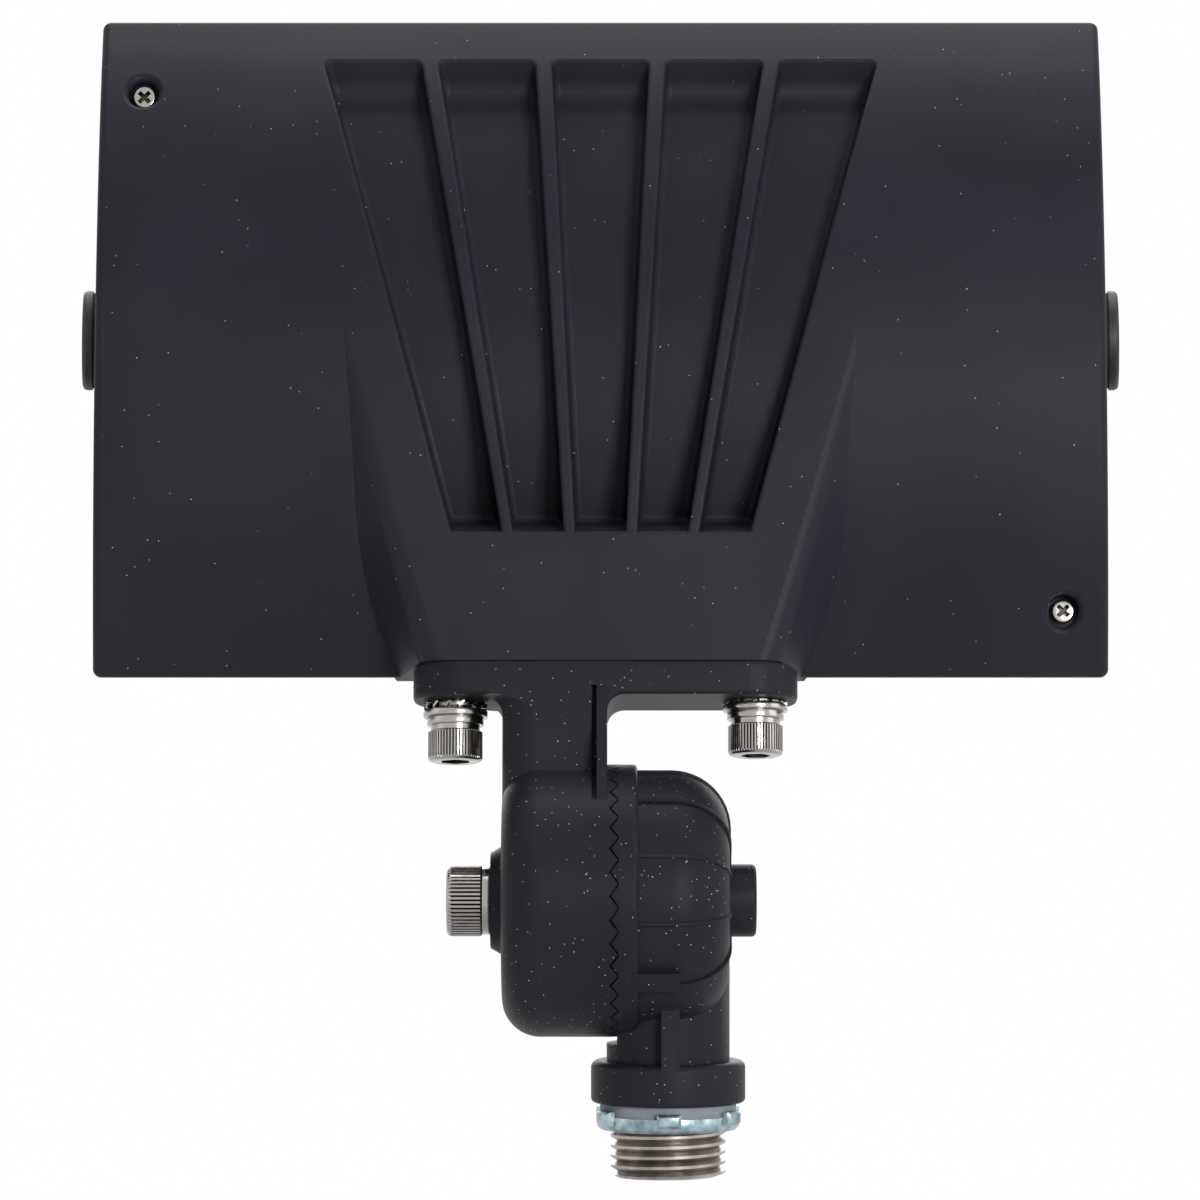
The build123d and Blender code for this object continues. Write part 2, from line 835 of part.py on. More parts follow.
def pocket_side(z, number):
    """Left and right edge of one pocket at a height, counted from the left."""
    rib = rib_width(z)
    width = (2 * fan_half(z) - (pocket_count - 1) * rib) / pocket_count
    left = -fan_half(z) + number * (width + rib)
    return left, left + width


def pocket_profile():
    """The pockets' side outline: a floor that follows the back, and the slopes at its two ends."""
    floor = back_radius - pocket_depth
    top_edge_y = arc_y(back_radius, pocket_high_z)
    floor_top_z = pocket_high_z - pocket_top_run
    floor_top = (arc_y(floor, floor_top_z), floor_top_z)
    top_slope = (pocket_high_z - floor_top_z) / (floor_top[0] - top_edge_y)
    slope = tan(radians(pocket_bottom_slope))
    floor_low_z = pocket_low_z + slope * (arc_y(floor, pocket_low_z + pocket_slope_rise) - back_y)
    floor_low = (arc_y(floor, floor_low_z), floor_low_z)
    outline = ThreePointArc(floor_low, (arc_centre_y - floor, middle_z), floor_top)
    high_z = pocket_high_z + top_slope * pocket_reach
    back = back_y - pocket_reach
    outline += Polyline(
        floor_top,
        (top_edge_y - pocket_reach, high_z),
        (back, high_z),
        (back, floor_low_z - slope * (floor_low[0] - back)),
        floor_low,
    )
    return make_face(outline)


def pocket_cutters():
    side = extrude(Plane.YZ * pocket_profile(), far, both=True)
    cutters = []
    tall = head_top + 2 * pocket_reach
    for number in range(pocket_count):
        corners = []
        for z, edge in ((0.0, 0), (tall, 0), (tall, 1), (0.0, 1)):
            corners.append((pocket_side(z, number)[edge], z))
        cutter = side & outline_slab(corners, back_y - 2 * pocket_reach, split_y)
        floor_face = cutter.faces().filter_by(GeomType.CYLINDER)[0]
        cutter = fillet(floor_face.edges().sort_by(Axis.Z)[-1], pocket_top_round)
        cutters.append(fillet(pocket_inner_edges(cutter), pocket_floor_round))
    return cutters


def pocket_inner_edges(cutter):
    """The edges along a pocket's floor and in the corners of its slope."""
    inner = []
    for edge in cutter.edges():
        centre = edge.center()
        upright = abs(edge.tangent_at(0.5).X) < 0.5
        if centre.Y > back_y + spare and (centre.Z < middle_z or upright):
            inner.append(edge)
    return inner


def neck():
    """The flat trapezoid that stands out of the curved back and carries the arm's plate."""
    depth = arc_y(back_radius, head_bottom) - back_y
    far_depth = depth + neck_sink
    grow = far_depth / depth
    sections = []
    for back, bottom_extra, top_extra in ((back_y, 0.0, 0.0), (back_y + far_depth, grow, grow)):
        bottom = neck_bottom_half + neck_flare_bottom * bottom_extra
        top = neck_top_half + neck_flare_top * top_extra
        outline = Polyline(
            (-bottom, head_bottom), (bottom, head_bottom), (top, middle_z), (-top, middle_z), close=True
        )
        sections.append(Plane.XZ.offset(-back) * make_face(outline))
    solid = loft(sections, ruled=True)
    back_edges = solid.edges().filter_by(lambda e: abs(e.center().Y - back_y) < touch)
    return fillet(back_edges.filter_by(lambda e: abs(e.center().X) > touch), neck_round)


def screw_places():
    """Where the two rear screws go, as (x, z)."""
    return [(-screw_x, middle_z + screw_rise), (screw_x, middle_z - screw_drop)]


def peg_places():
    """The frame's pegs, at the two corners that have no screw."""
    return [(screw_x, middle_z + screw_rise), (-screw_x, middle_z - screw_drop)]


def split_height():
    """The head's height where the housing meets the front frame."""
    return head_height - 2 * frame_inset(split_y)


def screw_seat_y(z):
    """The shoulder under a rear screw's head."""
    return arc_y(back_radius, z) + screw_recess + screw_head_height


def housing_seal_ring(start_y, end_y):
    width = 2 * half_width(split_y) - 2 * housing_seal_inset
    height = split_height() - 2 * housing_seal_inset
    corner = housing_seal_corner
    inner = 2 * housing_seal_width
    ring = slab(width, height, corner, start_y, end_y)
    inner_corner = corner - housing_seal_width
    return ring - slab(width - inner, height - inner, inner_corner, start_y - spare, end_y + spare)


def plug_place(shape, side):
    """Puts a shape modelled along +X from the wall's outer face on the left or right side wall."""
    placed = Pos(half_width(plug_y), plug_y, middle_z) * Rot(0, 0, -side_draft) * shape
    return placed if side > 0 else mirror(placed, Plane.YZ)


def head_skin():
    """The outside of the housing: rounded shell, neck and pockets, still solid inside."""
    shell = back_shell(back_radius, 0, split_y)
    shell = fillet(edges_along_y(shell), head_corner)
    back_face = shell.faces().filter_by(GeomType.CYLINDER).sort_by(SortBy.AREA)[-1]
    shell = fillet(back_face.edges(), head_edge_round)
    shell = shell + neck() - pocket_cutters()
    return fillet(pocket_mouths(shell), pocket_lip)


def pocket_mouths(shell):
    """The pockets' edges on the outer surface."""
    mouths = []
    for edge in shell.edges():
        centre = edge.center()
        if not pocket_low_z - 2 * spare < centre.Z < pocket_high_z + 2 * spare:
            continue
        depth = back_radius - sqrt((centre.Y - arc_centre_y) ** 2 + (centre.Z - middle_z) ** 2)
        on_neck = abs(centre.Y - back_y) < 2 * touch and centre.Z < middle_z + spare
        in_fan = abs(centre.X) < fan_half(centre.Z) + pocket_lip
        if in_fan and (abs(depth) < 2 * touch or on_neck):
            mouths.append(edge)
    return mouths


def pocket_backing():
    """What the hollow leaves standing behind the pockets."""
    low = pocket_low_z - pocket_wall
    high = pocket_high_z + pocket_wall
    corners = []
    for z, side in ((low, -1), (low, 1), (high, 1), (high, -1)):
        corners.append((side * (fan_half(z) + pocket_wall), z))
    backing = outline_slab(corners, back_y - spare, split_y - spare)
    inner_radius = back_radius - pocket_depth - pocket_wall
    return backing - rod_x(inner_radius, -far, far, arc_centre_y, middle_z)


def rim_ring():
    """The thicker rim around the housing's open side."""
    start = split_y - rim_flange_depth
    end = split_y + 2 * spare
    width = 2 * half_width(split_y) - 2 * rim_flange
    height = split_height() - 2 * rim_flange
    opening = slab(width, height, head_corner, start - spare, end + spare)
    return plan_prism(wall - spare, start, end) - opening


def housing_bosses():
    """The columns, posts and screw bosses that stand inside the housing."""
    column_end = split_y + 2 * spare
    bosses = [rod_y(column_radius, back_y, column_end, x, z) for x, z in screw_places() + peg_places()]
    bosses += [rod_y(post_radius, back_y, heat_plate_y, x, z) for x, z in post_places()]
    plug_boss = rod_x(plug_thread_radius + wall, -plug_thread_length, 0)
    bosses += [plug_place(plug_boss, side) for side in (-1, 1)]
    bosses.append(rod_y(earth_boss_radius, back_y, earth_face_y, earth_screw_x, earth_screw_z))
    return bosses


def head_hollow():
    """The space inside the housing, with the bosses and the rim left out of it."""
    hollow = back_shell(back_radius - wall, wall, split_y + spare) - pocket_backing() - rim_ring()
    half = plate_bolt_spacing / 2 - bolt_boss
    start = back_y + neck_wall
    end = split_y - rim_flange_depth
    hollow += block(-half, half, start, end, head_bottom + neck_floor, head_bottom + neck_cavity_top)
    return hollow - housing_bosses()


def screw_seat(solid, x, z):
    """Cuts the counterbore and the through hole of one rear screw."""
    seat = screw_seat_y(z)
    solid -= rod_y(screw_counterbore, back_y - spare, seat, x, z)
    mouth = []
    for edge in solid.edges():
        box = edge.bounding_box()
        centre = box.center()
        near = abs(centre.X - x) < spare / 2 and abs(centre.Z - z) < spare / 2
        if near and box.max.Y < seat - spare / 2 and box.size.X > screw_counterbore:
            mouth.append(edge)
    solid = fillet(mouth, screw_lip)
    return solid - rod_y(screw_radius + bolt_gap, back_y, split_y + spare, x, z)


def rear_housing():
    solid = head_skin() - head_hollow()
    for x, z in screw_places():
        solid = screw_seat(solid, x, z)
    holes = [hole_z(arm_passage_radius, head_bottom, head_bottom + neck_floor, x=passage_in_head_x)]
    bolt_end = head_bottom + plate_bolt_thread + plate_bolt_hole_extra
    for x in plate_bolt_xs:
        in_head_x = x - head_centre_x
        holes.append(rod_z(plate_bolt_radius + thread_gap, head_bottom - spare, bolt_end, x=in_head_x))
    peg_end = split_y - peg_length - peg_hole_extra
    for x, z in peg_places():
        holes.append(rod_y(peg_radius + part_gap, peg_end, split_y + spare, x, z))
    post_end = heat_plate_y - post_screw_depth
    for x, z in post_places():
        holes.append(rod_y(small_screw_radius + thread_gap, post_end, heat_plate_y + spare, x, z))
    plug_end = -plug_thread_length - plug_hole_extra
    for side in (-1, 1):
        holes.append(plug_place(rod_x(plug_thread_radius + thread_gap, plug_end, 2 * spare), side))
    earth_end = earth_face_y - earth_screw_length - earth_hole_extra
    earth_hole_radius = earth_screw_radius + thread_gap
    holes.append(rod_y(earth_hole_radius, earth_end, earth_face_y + spare, earth_screw_x, earth_screw_z))
    holes.append(housing_seal_ring(split_y - housing_seal_depth, split_y + spare))
    return on_head(solid - holes)


def housing_seal():
    return on_head(housing_seal_ring(split_y - housing_seal_depth, split_y))


def side_plugs():
    plug = rod_x(plug_radius, plug_seal_thickness, plug_seal_thickness + plug_height)
    plug = fillet(plug.edges().filter_by(GeomType.CIRCLE).sort_by(Axis.X)[-1], plug_edge)
    plug += rod_x(plug_thread_radius, -plug_thread_length, plug_seal_thickness + overlap)
    plug -= rod_x(plug_thread_radius - wall, -plug_thread_length - spare, -wall)
    return on_head(Part() + [plug_place(plug, side) for side in (-1, 1)])


def plug_seals():
    seal = rod_x(plug_seal_radius, 0, plug_seal_thickness)
    seal -= hole_x(plug_thread_radius + thread_gap, 0, plug_seal_thickness)
    return on_head(Part() + [plug_place(seal, side) for side in (-1, 1)])


def rear_screws():
    arm_half = screw_head_radius * screw_cross_share
    slot_half = screw_cross_width / 2
    arm = block(-arm_half, arm_half, -overlap, screw_cross_depth, -slot_half, slot_half)
    screws = Part()
    for x, z in screw_places():
        seat = screw_seat_y(z)
        top = seat - screw_head_height
        head = rod_y(screw_head_radius, top, seat, x, z)
        head_edge_circle = head.edges().filter_by(GeomType.CIRCLE).sort_by(Axis.Y)[0]
        screw = fillet(head_edge_circle, screw_head_height * screw_dome_share)
        screw += rod_y(screw_radius, seat - overlap, seat + screw_length, x, z)
        for turn in (screw_cross_turn, screw_cross_turn + 90):
            screw -= Pos(x, top, z) * Rot(0, turn, 0) * arm
        screws += screw
    return on_head(screws)


# Front frame, glass and what holds it


def front_frame():
    back_half = half_width(split_y)
    front_half = back_half - (front_y - split_y) * tan(radians(side_draft))
    plan = [(-back_half, split_y), (back_half, split_y), (front_half, front_y), (-front_half, front_y)]
    low = head_bottom + frame_inset(split_y)
    high = head_top - frame_inset(split_y)
    rise = end_inset(split_y, front_y)
    side = [(split_y, low), (front_y, low + rise), (front_y, high - rise), (split_y, high)]
    side_face = Plane.YZ * make_face(Polyline(*side, close=True))
    frame = extrude(make_face(Polyline(*plan, close=True)), far + head_top)
    frame &= extrude(side_face, far, both=True)
    frame = fillet(edges_along_y(frame), head_corner)
    frame = fillet(frame.faces().sort_by(Axis.Y)[-1].outer_wire().edges(), frame_edge)
    rebate_width = glass_width + 2 * glass_gap
    rebate_height = glass_height + 2 * glass_gap
    rebate_corner = glass_corner + glass_gap
    frame -= slab(rebate_width, rebate_height, rebate_corner, split_y - spare, front_y - frame_lip)
    frame -= slab(window_width, window_height, window_corner, split_y, front_y + spare)
    window_rim = frame.faces().sort_by(Axis.Y)[-1].inner_wires()[0].edges()
    frame = chamfer(window_rim, window_chamfer)
    for x, side in clip_places():
        edge = middle_z + side * (glass_height / 2 + glass_gap)
        low, high = sorted((edge - side, edge + side * (clip_seat + part_gap)))
        half = clip_width / 2 + part_gap
        frame -= block(x - half, x + half, split_y - spare, glass_back_y, low, high)
        screw_z = edge + side * clip_seat / 2
        screw_end = glass_back_y + clip_screw_length
        frame -= rod_y(clip_screw_radius + thread_gap, glass_back_y - spare, screw_end, x, screw_z)
    for x, z in screw_places():
        screw_end = screw_seat_y(z) + screw_length + screw_hole_extra
        frame -= rod_y(screw_radius + thread_gap, split_y - spare, screw_end, x, z)
    for x, z in peg_places():
        frame += rod_y(peg_radius, split_y - peg_length, split_y + spare, x, z)
    return on_head(frame)


def clip_places():
    return [(x, side) for side in (-1, 1) for x in (-clip_x, clip_x)]


def glass():
    return on_head(slab(glass_width, glass_height, glass_corner, glass_back_y, glass_front_y))


def glass_gasket():
    inner_width = glass_width - 2 * glass_gasket_width
    inner_height = glass_height - 2 * glass_gasket_width
    inner_corner = glass_corner - glass_gasket_width / 2
    ring = slab(glass_width, glass_height, glass_corner, glass_front_y, front_y - frame_lip)
    return on_head(ring - slab(inner_width, inner_height, inner_corner, glass_front_y - spare, front_y))


def glass_clips():
    clips = Part()
    for x, side in clip_places():
        edge = middle_z + side * (glass_height / 2 + glass_gap)
        low, high = sorted((edge - side * (glass_gap + clip_overlap), edge + side * clip_seat))
        half = clip_width / 2
        clip = block(x - half, x + half, glass_back_y - clip_thickness, glass_back_y, low, high)
        screw_z = edge + side * clip_seat / 2
        clips += clip - rod_y(clip_screw_radius + thread_gap, split_y, front_y, x, screw_z)
    return on_head(clips)


def small_screw(radius, head_radius, head_height, length):
    """A pan-head screw along +Y with its shoulder at y = 0."""
    head = rod_y(head_radius, -head_height, 0)
    edge = head.edges().filter_by(GeomType.CIRCLE).sort_by(Axis.Y)[0]
    head = fillet(edge, head_height * pan_head_round_share)
    half = head_radius * pan_head_cross_share
    slot = head_height * pan_head_slot_share
    arm = block(-half, half, -head_height - spare, slot - head_height, -slot / 2, slot / 2)
    head -= [Rot(0, turn, 0) * arm for turn in (0, 90)]
    return head + rod_y(radius, -overlap, length)


def glass_clip_screws():
    screw = small_screw(clip_screw_radius, clip_screw_head, clip_screw_head_height, clip_screw_length)
    screws = Part()
    for x, side in clip_places():
        screw_z = middle_z + side * (glass_height / 2 + glass_gap + clip_seat / 2)
        screws += Pos(x, glass_back_y - clip_thickness, screw_z) * screw
    return on_head(screws)


# Light engine


def post_places():
    return [(x, z) for x in (-post_x, post_x) for z in (middle_z - post_z, middle_z + post_z)]


def board_screw_places():
    xs = (-board_screw_x, board_screw_x)
    return [(x, z) for x in xs for z in (middle_z - board_screw_z, middle_z + board_screw_z)]


def driver_ear_places():
    reach = driver_width / 2 + driver_ear / 2
    return [(-reach, middle_z), (reach, middle_z)]


def lead_places():
    return [(lead_x, middle_z - lead_spacing / 2), (lead_x, middle_z + lead_spacing / 2)]


def heat_plate():
    start = heat_plate_y
    end = heat_plate_y + heat_plate_thickness
    plate = slab(heat_plate_width, heat_plate_height, heat_plate_corner, start, end)
    for x, z in post_places():
        plate -= hole_y(small_screw_radius + bolt_gap, start, end, x, z)
    for x, z in board_screw_places() + driver_ear_places():
        plate -= hole_y(small_screw_radius + thread_gap, start, end, x, z)
    plate -= lead_window(start, end)
    return on_head(plate)


def lead_window(start_y, end_y):
    """The square hole that the driver's two leads pass through."""
    half = lead_spacing / 2 + lead_radius + lead_margin
    near = start_y - spare
    return block(lead_x - half, lead_x + half, near, end_y + spare, middle_z - half, middle_z + half)


def heat_plate_screws():
    length = heat_plate_thickness + post_screw_reach
    screw = small_screw(small_screw_radius, small_screw_head, small_screw_head_height, length)
    turned = Rot(0, 0, 180) * screw
    top = heat_plate_y + heat_plate_thickness
    return on_head(Part() + [Pos(x, top, z) * turned for x, z in post_places()])


def thermal_pad():
    start = heat_plate_y + heat_plate_thickness
    width = board_width - 2 * pad_inset
    height = board_height - 2 * pad_inset
    pad = slab(width, height, board_corner, start, board_y)
    for x, z in board_screw_places() + driver_ear_places():
        pad -= hole_y(small_screw_head + part_gap, start, board_y, x, z)
    return on_head(pad - lead_window(start, board_y))


def led_board():
    board = slab(board_width, board_height, board_corner, board_y, board_front_y)
    for x, z in board_screw_places():
        board -= hole_y(small_screw_radius + bolt_gap, board_y, board_front_y, x, z)
    for x, z in lead_places():
        board -= hole_y(lead_radius + lead_gap, board_y, board_front_y, x, z)
    return on_head(board)


def led_chips():
    chip = Box(chip_size, chip_height, chip_size)
    chips = Part()
    for column in range(chip_columns):
        for row in range(chip_rows):
            x = (column - (chip_columns - 1) / 2) * chip_pitch_x
            z = middle_z + (row - (chip_rows - 1) / 2) * chip_pitch_z
            chips += Pos(x, board_front_y + chip_height / 2, z) * chip
    return on_head(chips)


def led_board_screws():
    length = reflector_sheet + board_thickness + pad_thickness + heat_plate_thickness
    screw = small_screw(small_screw_radius, small_screw_head, small_screw_head_height, length)
    turned = Rot(0, 0, 180) * screw
    return on_head(Part() + [Pos(x, reflector_seat_y, z) * turned for x, z in board_screw_places()])


def reflector_body(width, height, mouth_width, mouth_height):
    base = RectangleRounded(width, height, reflector_base_corner)
    mouth = RectangleRounded(mouth_width, mouth_height, reflector_mouth_corner)
    mouth_y = glass_back_y - part_gap
    low = Plane.XZ.offset(-board_front_y) * Pos(0, middle_z) * base
    high = Plane.XZ.offset(-mouth_y) * Pos(0, middle_z) * mouth
    return loft([low, high], ruled=True)


def reflector():
    sheet = 2 * reflector_sheet
    outer = reflector_body(
        reflector_base_width + sheet,
        reflector_base_height + sheet,
        reflector_mouth_width,
        reflector_mouth_height,
    )
    inner = reflector_body(
        reflector_base_width,
        reflector_base_height,
        reflector_mouth_width - sheet,
        reflector_mouth_height - sheet,
    )
    start = board_front_y
    end = reflector_seat_y
    flange = slab(board_width, board_height, board_corner, start, end)
    flange -= slab(reflector_base_width, reflector_base_height, board_corner, start - spare, end + spare)
    solid = outer - inner + flange
    for x, z in board_screw_places():
        solid -= hole_y(small_screw_radius + bolt_gap, start, end, x, z)
        solid -= rod_y(small_screw_head + part_gap, reflector_seat_y, glass_back_y, x, z)
    return on_head(solid)


# Driver


def driver_case():
    bottom = heat_plate_y - driver_depth
    case = slab(driver_width, driver_height, driver_corner, bottom, heat_plate_y)
    inside_width = driver_width - 2 * driver_wall
    inside_height = driver_height - 2 * driver_wall
    inside_corner = driver_corner - driver_wall
    floor = bottom + driver_wall
    inside = slab(inside_width, inside_height, inside_corner, floor, heat_plate_y + spare)
    case -= inside
    half = driver_ear / 2
    reach = half + driver_ear_extra
    ear_start = heat_plate_y - driver_wall
    for x, z in driver_ear_places():
        case += block(x - reach, x + reach, ear_start, heat_plate_y, z - half, z + half) - inside
        case -= hole_y(small_screw_radius + bolt_gap, ear_start, heat_plate_y, x, z)
    for x, z in standoff_places():
        case += rod_y(standoff_radius, floor - overlap, driver_board_y, x, z)
        case -= rod_y(clip_screw_radius + thread_gap, floor, driver_board_y + spare, x, z)
    return on_head(case)


def standoff_places():
    x = driver_width / 2 - standoff_inset
    z = driver_height / 2 - standoff_inset
    return [(sx * x, middle_z + sz * z) for sx in (-1, 1) for sz in (-1, 1)]


def driver_board():
    width = driver_width - 2 * driver_wall - 2 * driver_board_inset
    height = driver_height - 2 * driver_wall - 2 * driver_board_inset
    board = slab(width, height, driver_corner - driver_wall, driver_board_y, driver_board_front_y)
    for x, z in standoff_places():
        board -= hole_y(clip_screw_radius + bolt_gap, driver_board_y, driver_board_front_y, x, z)
    return on_head(board)


def driver_board_screws():
    length = driver_board_thickness + driver_board_standoff - lead_gap
    screw = small_screw(clip_screw_radius, clip_screw_head, clip_screw_head_height, length)
    turned = Rot(0, 0, 180) * screw
    return on_head(Part() + [Pos(x, driver_board_front_y, z) * turned for x, z in standoff_places()])


def driver_components():
    """Transformer, choke and terminal block as boxes, and two round capacitors, on the driver's board."""
    low = middle_z - driver_part_depth / 2
    high = middle_z + driver_part_depth / 2
    boxes = [
        (transformer_x, transformer_width, transformer_height),
        (choke_x, choke_width, choke_height),
        (terminal_x, terminal_width, terminal_height),
    ]
    floor = driver_board_front_y
    parts = []
    for x, width, height in boxes:
        parts.append(block(x - width / 2, x + width / 2, floor, floor + height, low, high))
    for x in (capacitor_x, capacitor_x + capacitor_pitch):
        parts.append(rod_y(capacitor_radius, floor, floor + capacitor_height, x, low + capacitor_radius))
    return on_head(Part() + parts)


def driver_screws():
    length = driver_wall + heat_plate_thickness
    screw = small_screw(small_screw_radius, small_screw_head, small_screw_head_height, length)
    seat = heat_plate_y - driver_wall
    return on_head(Part() + [Pos(x, seat, z) * screw for x, z in driver_ear_places()])


def led_leads():
    end = board_front_y + lead_end
    return on_head(Part() + [rod_y(lead_radius, driver_board_front_y, end, x, z) for x, z in lead_places()])


def earth_screw():
    screw = small_screw(earth_screw_radius, earth_screw_head, earth_screw_head_height, earth_screw_length)
    return on_head(Pos(earth_screw_x, earth_face_y, earth_screw_z) * Rot(0, 0, 180) * screw)


def build_all():
    return {
        "knuckle_base": knuckle_base(),
        "joint_seal": joint_seal(),
        "pivot_bolt": pivot_bolt(),
        "pivot_spring_washer": pivot_washer(),
        "seal_ring": seal_ring(),
        "locknut": locknut(),
        "knuckle_arm": knuckle_arm(),
        "plate_gasket": plate_gasket(),
        "plate_bolts": plate_bolts(),
        "spring_washers": spring_washers(),
        "flat_washers": flat_washers(),
        "star_washers": star_washers(),
        "rear_housing": rear_housing(),
        "rear_screws": rear_screws(),
        "side_plugs": side_plugs(),
        "side_plug_seals": plug_seals(),
        "housing_seal": housing_seal(),
        "front_frame": front_frame(),
        "glass": glass(),
        "glass_gasket": glass_gasket(),
        "glass_clips": glass_clips(),
        "glass_clip_screws": glass_clip_screws(),
        "reflector": reflector(),
        "led_board": led_board(),
        "led_chips": led_chips(),
        "led_board_screws": led_board_screws(),
        "thermal_pad": thermal_pad(),
        "heat_plate": heat_plate(),
        "heat_plate_screws": heat_plate_screws(),
        "driver_case": driver_case(),
        "driver_board": driver_board(),
        "driver_components": driver_components(),
        "driver_board_screws": driver_board_screws(),
        "driver_screws": driver_screws(),
        "earth_screw": earth_screw(),
        "led_leads": led_leads(),
    }


os.makedirs("parts", exist_ok=True)
for node, solid in build_all().items():
    export_step(solid, f"parts/{node}.step")
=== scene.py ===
import math

import bpy
from mathutils import Matrix, Vector


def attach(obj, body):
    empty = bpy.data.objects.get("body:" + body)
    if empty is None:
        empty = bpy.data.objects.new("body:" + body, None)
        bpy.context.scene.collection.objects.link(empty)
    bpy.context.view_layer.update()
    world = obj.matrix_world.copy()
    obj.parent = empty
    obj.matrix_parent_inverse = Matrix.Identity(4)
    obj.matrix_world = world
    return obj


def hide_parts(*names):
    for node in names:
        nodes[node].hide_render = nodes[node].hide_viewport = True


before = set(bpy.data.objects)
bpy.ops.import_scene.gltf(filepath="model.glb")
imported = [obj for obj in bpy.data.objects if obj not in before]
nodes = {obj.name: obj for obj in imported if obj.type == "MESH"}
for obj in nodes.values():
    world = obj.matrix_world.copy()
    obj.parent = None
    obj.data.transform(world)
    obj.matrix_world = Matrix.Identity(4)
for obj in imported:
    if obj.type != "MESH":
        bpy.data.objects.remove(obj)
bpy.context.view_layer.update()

mm = 0.001
slack = 0.01 * mm  # how far off a face or point may lie and still be picked
pinpoint = 0.001 * mm  # nearer than this, two points are one
overcut = 1 * mm  # how far a cutter stands out of what it cuts
smoothBelow = 32  # degrees between two faces that still shade as one
white = (1, 1, 1, 1)
print("frame loaded:", len(nodes), "nodes")


def linearColour(hexText):
    # sRGB hex to the linear values that the shader wants
    channels = [int(hexText[i:i + 2], 16) / 255 for i in (1, 3, 5)]
    return tuple(c / 12.92 if c <= 0.04045 else ((c + 0.055) / 1.055) ** 2.4 for c in channels) + (1.0,)


def addNode(tree, kind, values=None, links=None, **settings):
    node = tree.nodes.new("ShaderNode" + kind)
    for key, value in settings.items():
        setattr(node, key, value)
    for key, value in (values or {}).items():
        node.inputs[key].default_value = value
    for key, socket in (links or {}).items():
        tree.links.new(socket, node.inputs[key])
    return node


def startMaterial(name, colour, roughness, metallic=0.0, sockets=None):
    material = bpy.data.materials.new(name)
    material.use_nodes = True
    tree = material.node_tree
    shader = tree.nodes["Principled BSDF"]
    values = {"Base Color": linearColour(colour), "Roughness": roughness, "Metallic": metallic}
    for key, value in {**values, **(sockets or {})}.items():
        shader.inputs[key].default_value = value
    place = addNode(tree, "TexCoord").outputs["Object"]
    return material, tree, shader, place


# where the noise is cut off for patches, and the Mix node's colour sockets
patches = {"detail": 2.0, "from": 0.35, "to": 0.65}
mixSocket = {"first": 6, "second": 7, "result": 2}


def mottle(tree, shader, place, size, low, high):
    # slow change of colour over the surface, size in metres
    noise = addNode(tree, "TexNoise", {"Scale": 1 / size, "Detail": patches["detail"]}, {"Vector": place})
    ends = {"From Min": patches["from"], "From Max": patches["to"]}
    share = addNode(tree, "MapRange", ends, {"Value": noise.outputs["Fac"]})
    colours = {mixSocket["first"]: linearColour(low), mixSocket["second"]: linearColour(high)}
    mix = addNode(tree, "Mix", colours, {0: share.outputs["Result"]}, data_type="RGBA")
    body = mix.outputs[mixSocket["result"]]
    tree.links.new(body, shader.inputs["Base Color"])
    return body


def relief(tree, shader, pattern, look):
    # the pattern varies the shine between two roughnesses and raises the surface a little
    if "shine" in look:
        low, high = look["shine"]
        rough = addNode(tree, "MapRange", {"To Min": low, "To Max": high}, {"Value": pattern})
        tree.links.new(rough.outputs["Result"], shader.inputs["Roughness"])
    if "bump" in look:
        strength, depth = look["bump"]
        bump = addNode(tree, "Bump", {"Strength": strength, "Distance": depth}, {"Height": pattern})
        tree.links.new(bump.outputs["Normal"], shader.inputs["Normal"])


def finish(name, look):
    # a finish from its values: slow patches of colour, and a fine grain in the shine and the relief
    material, tree, shader, place = startMaterial(
        name, look["colour"], look["roughness"], look.get("metallic", 0.0), look.get("sockets")
    )
    if "patch" in look:
        mottle(tree, shader, place, look["patch"], look["dark"], look["light"])
    if "stretch" in look:
        place = addNode(tree, "Mapping", {"Scale": look["stretch"]}, {"Vector": place}).outputs["Vector"]
    if "grain" in look:
        values = {"Scale": 1 / look["grain"], "Detail": look["detail"]}
        noise = addNode(tree, "TexNoise", values, {"Vector": place})
        relief(tree, shader, noise.outputs["Fac"], look)
    return material


coat = {
    # the flake dots are painted glints: a pale base colour standing for the flakes' sparkle
    "flakeGlint": "#e2e4ea", "flakeGlintRadius": 0.085 * mm,  # coarser than a real flake, or it wouldn't show
    "roughness": 0.45, "patch": 30 * mm, "grain": 0.55 * mm, "detail": 2.0, "bump": (0.35, 0.05 * mm),
    "head": {"dark": "#22222a", "light": "#27272f", "reflection": 0.1, "cell": 2.0 * mm, "share": 0.5},
    "knuckle": {"dark": "#212126", "light": "#26262c", "reflection": 0.08, "cell": 1.15 * mm, "share": 0.8},
}


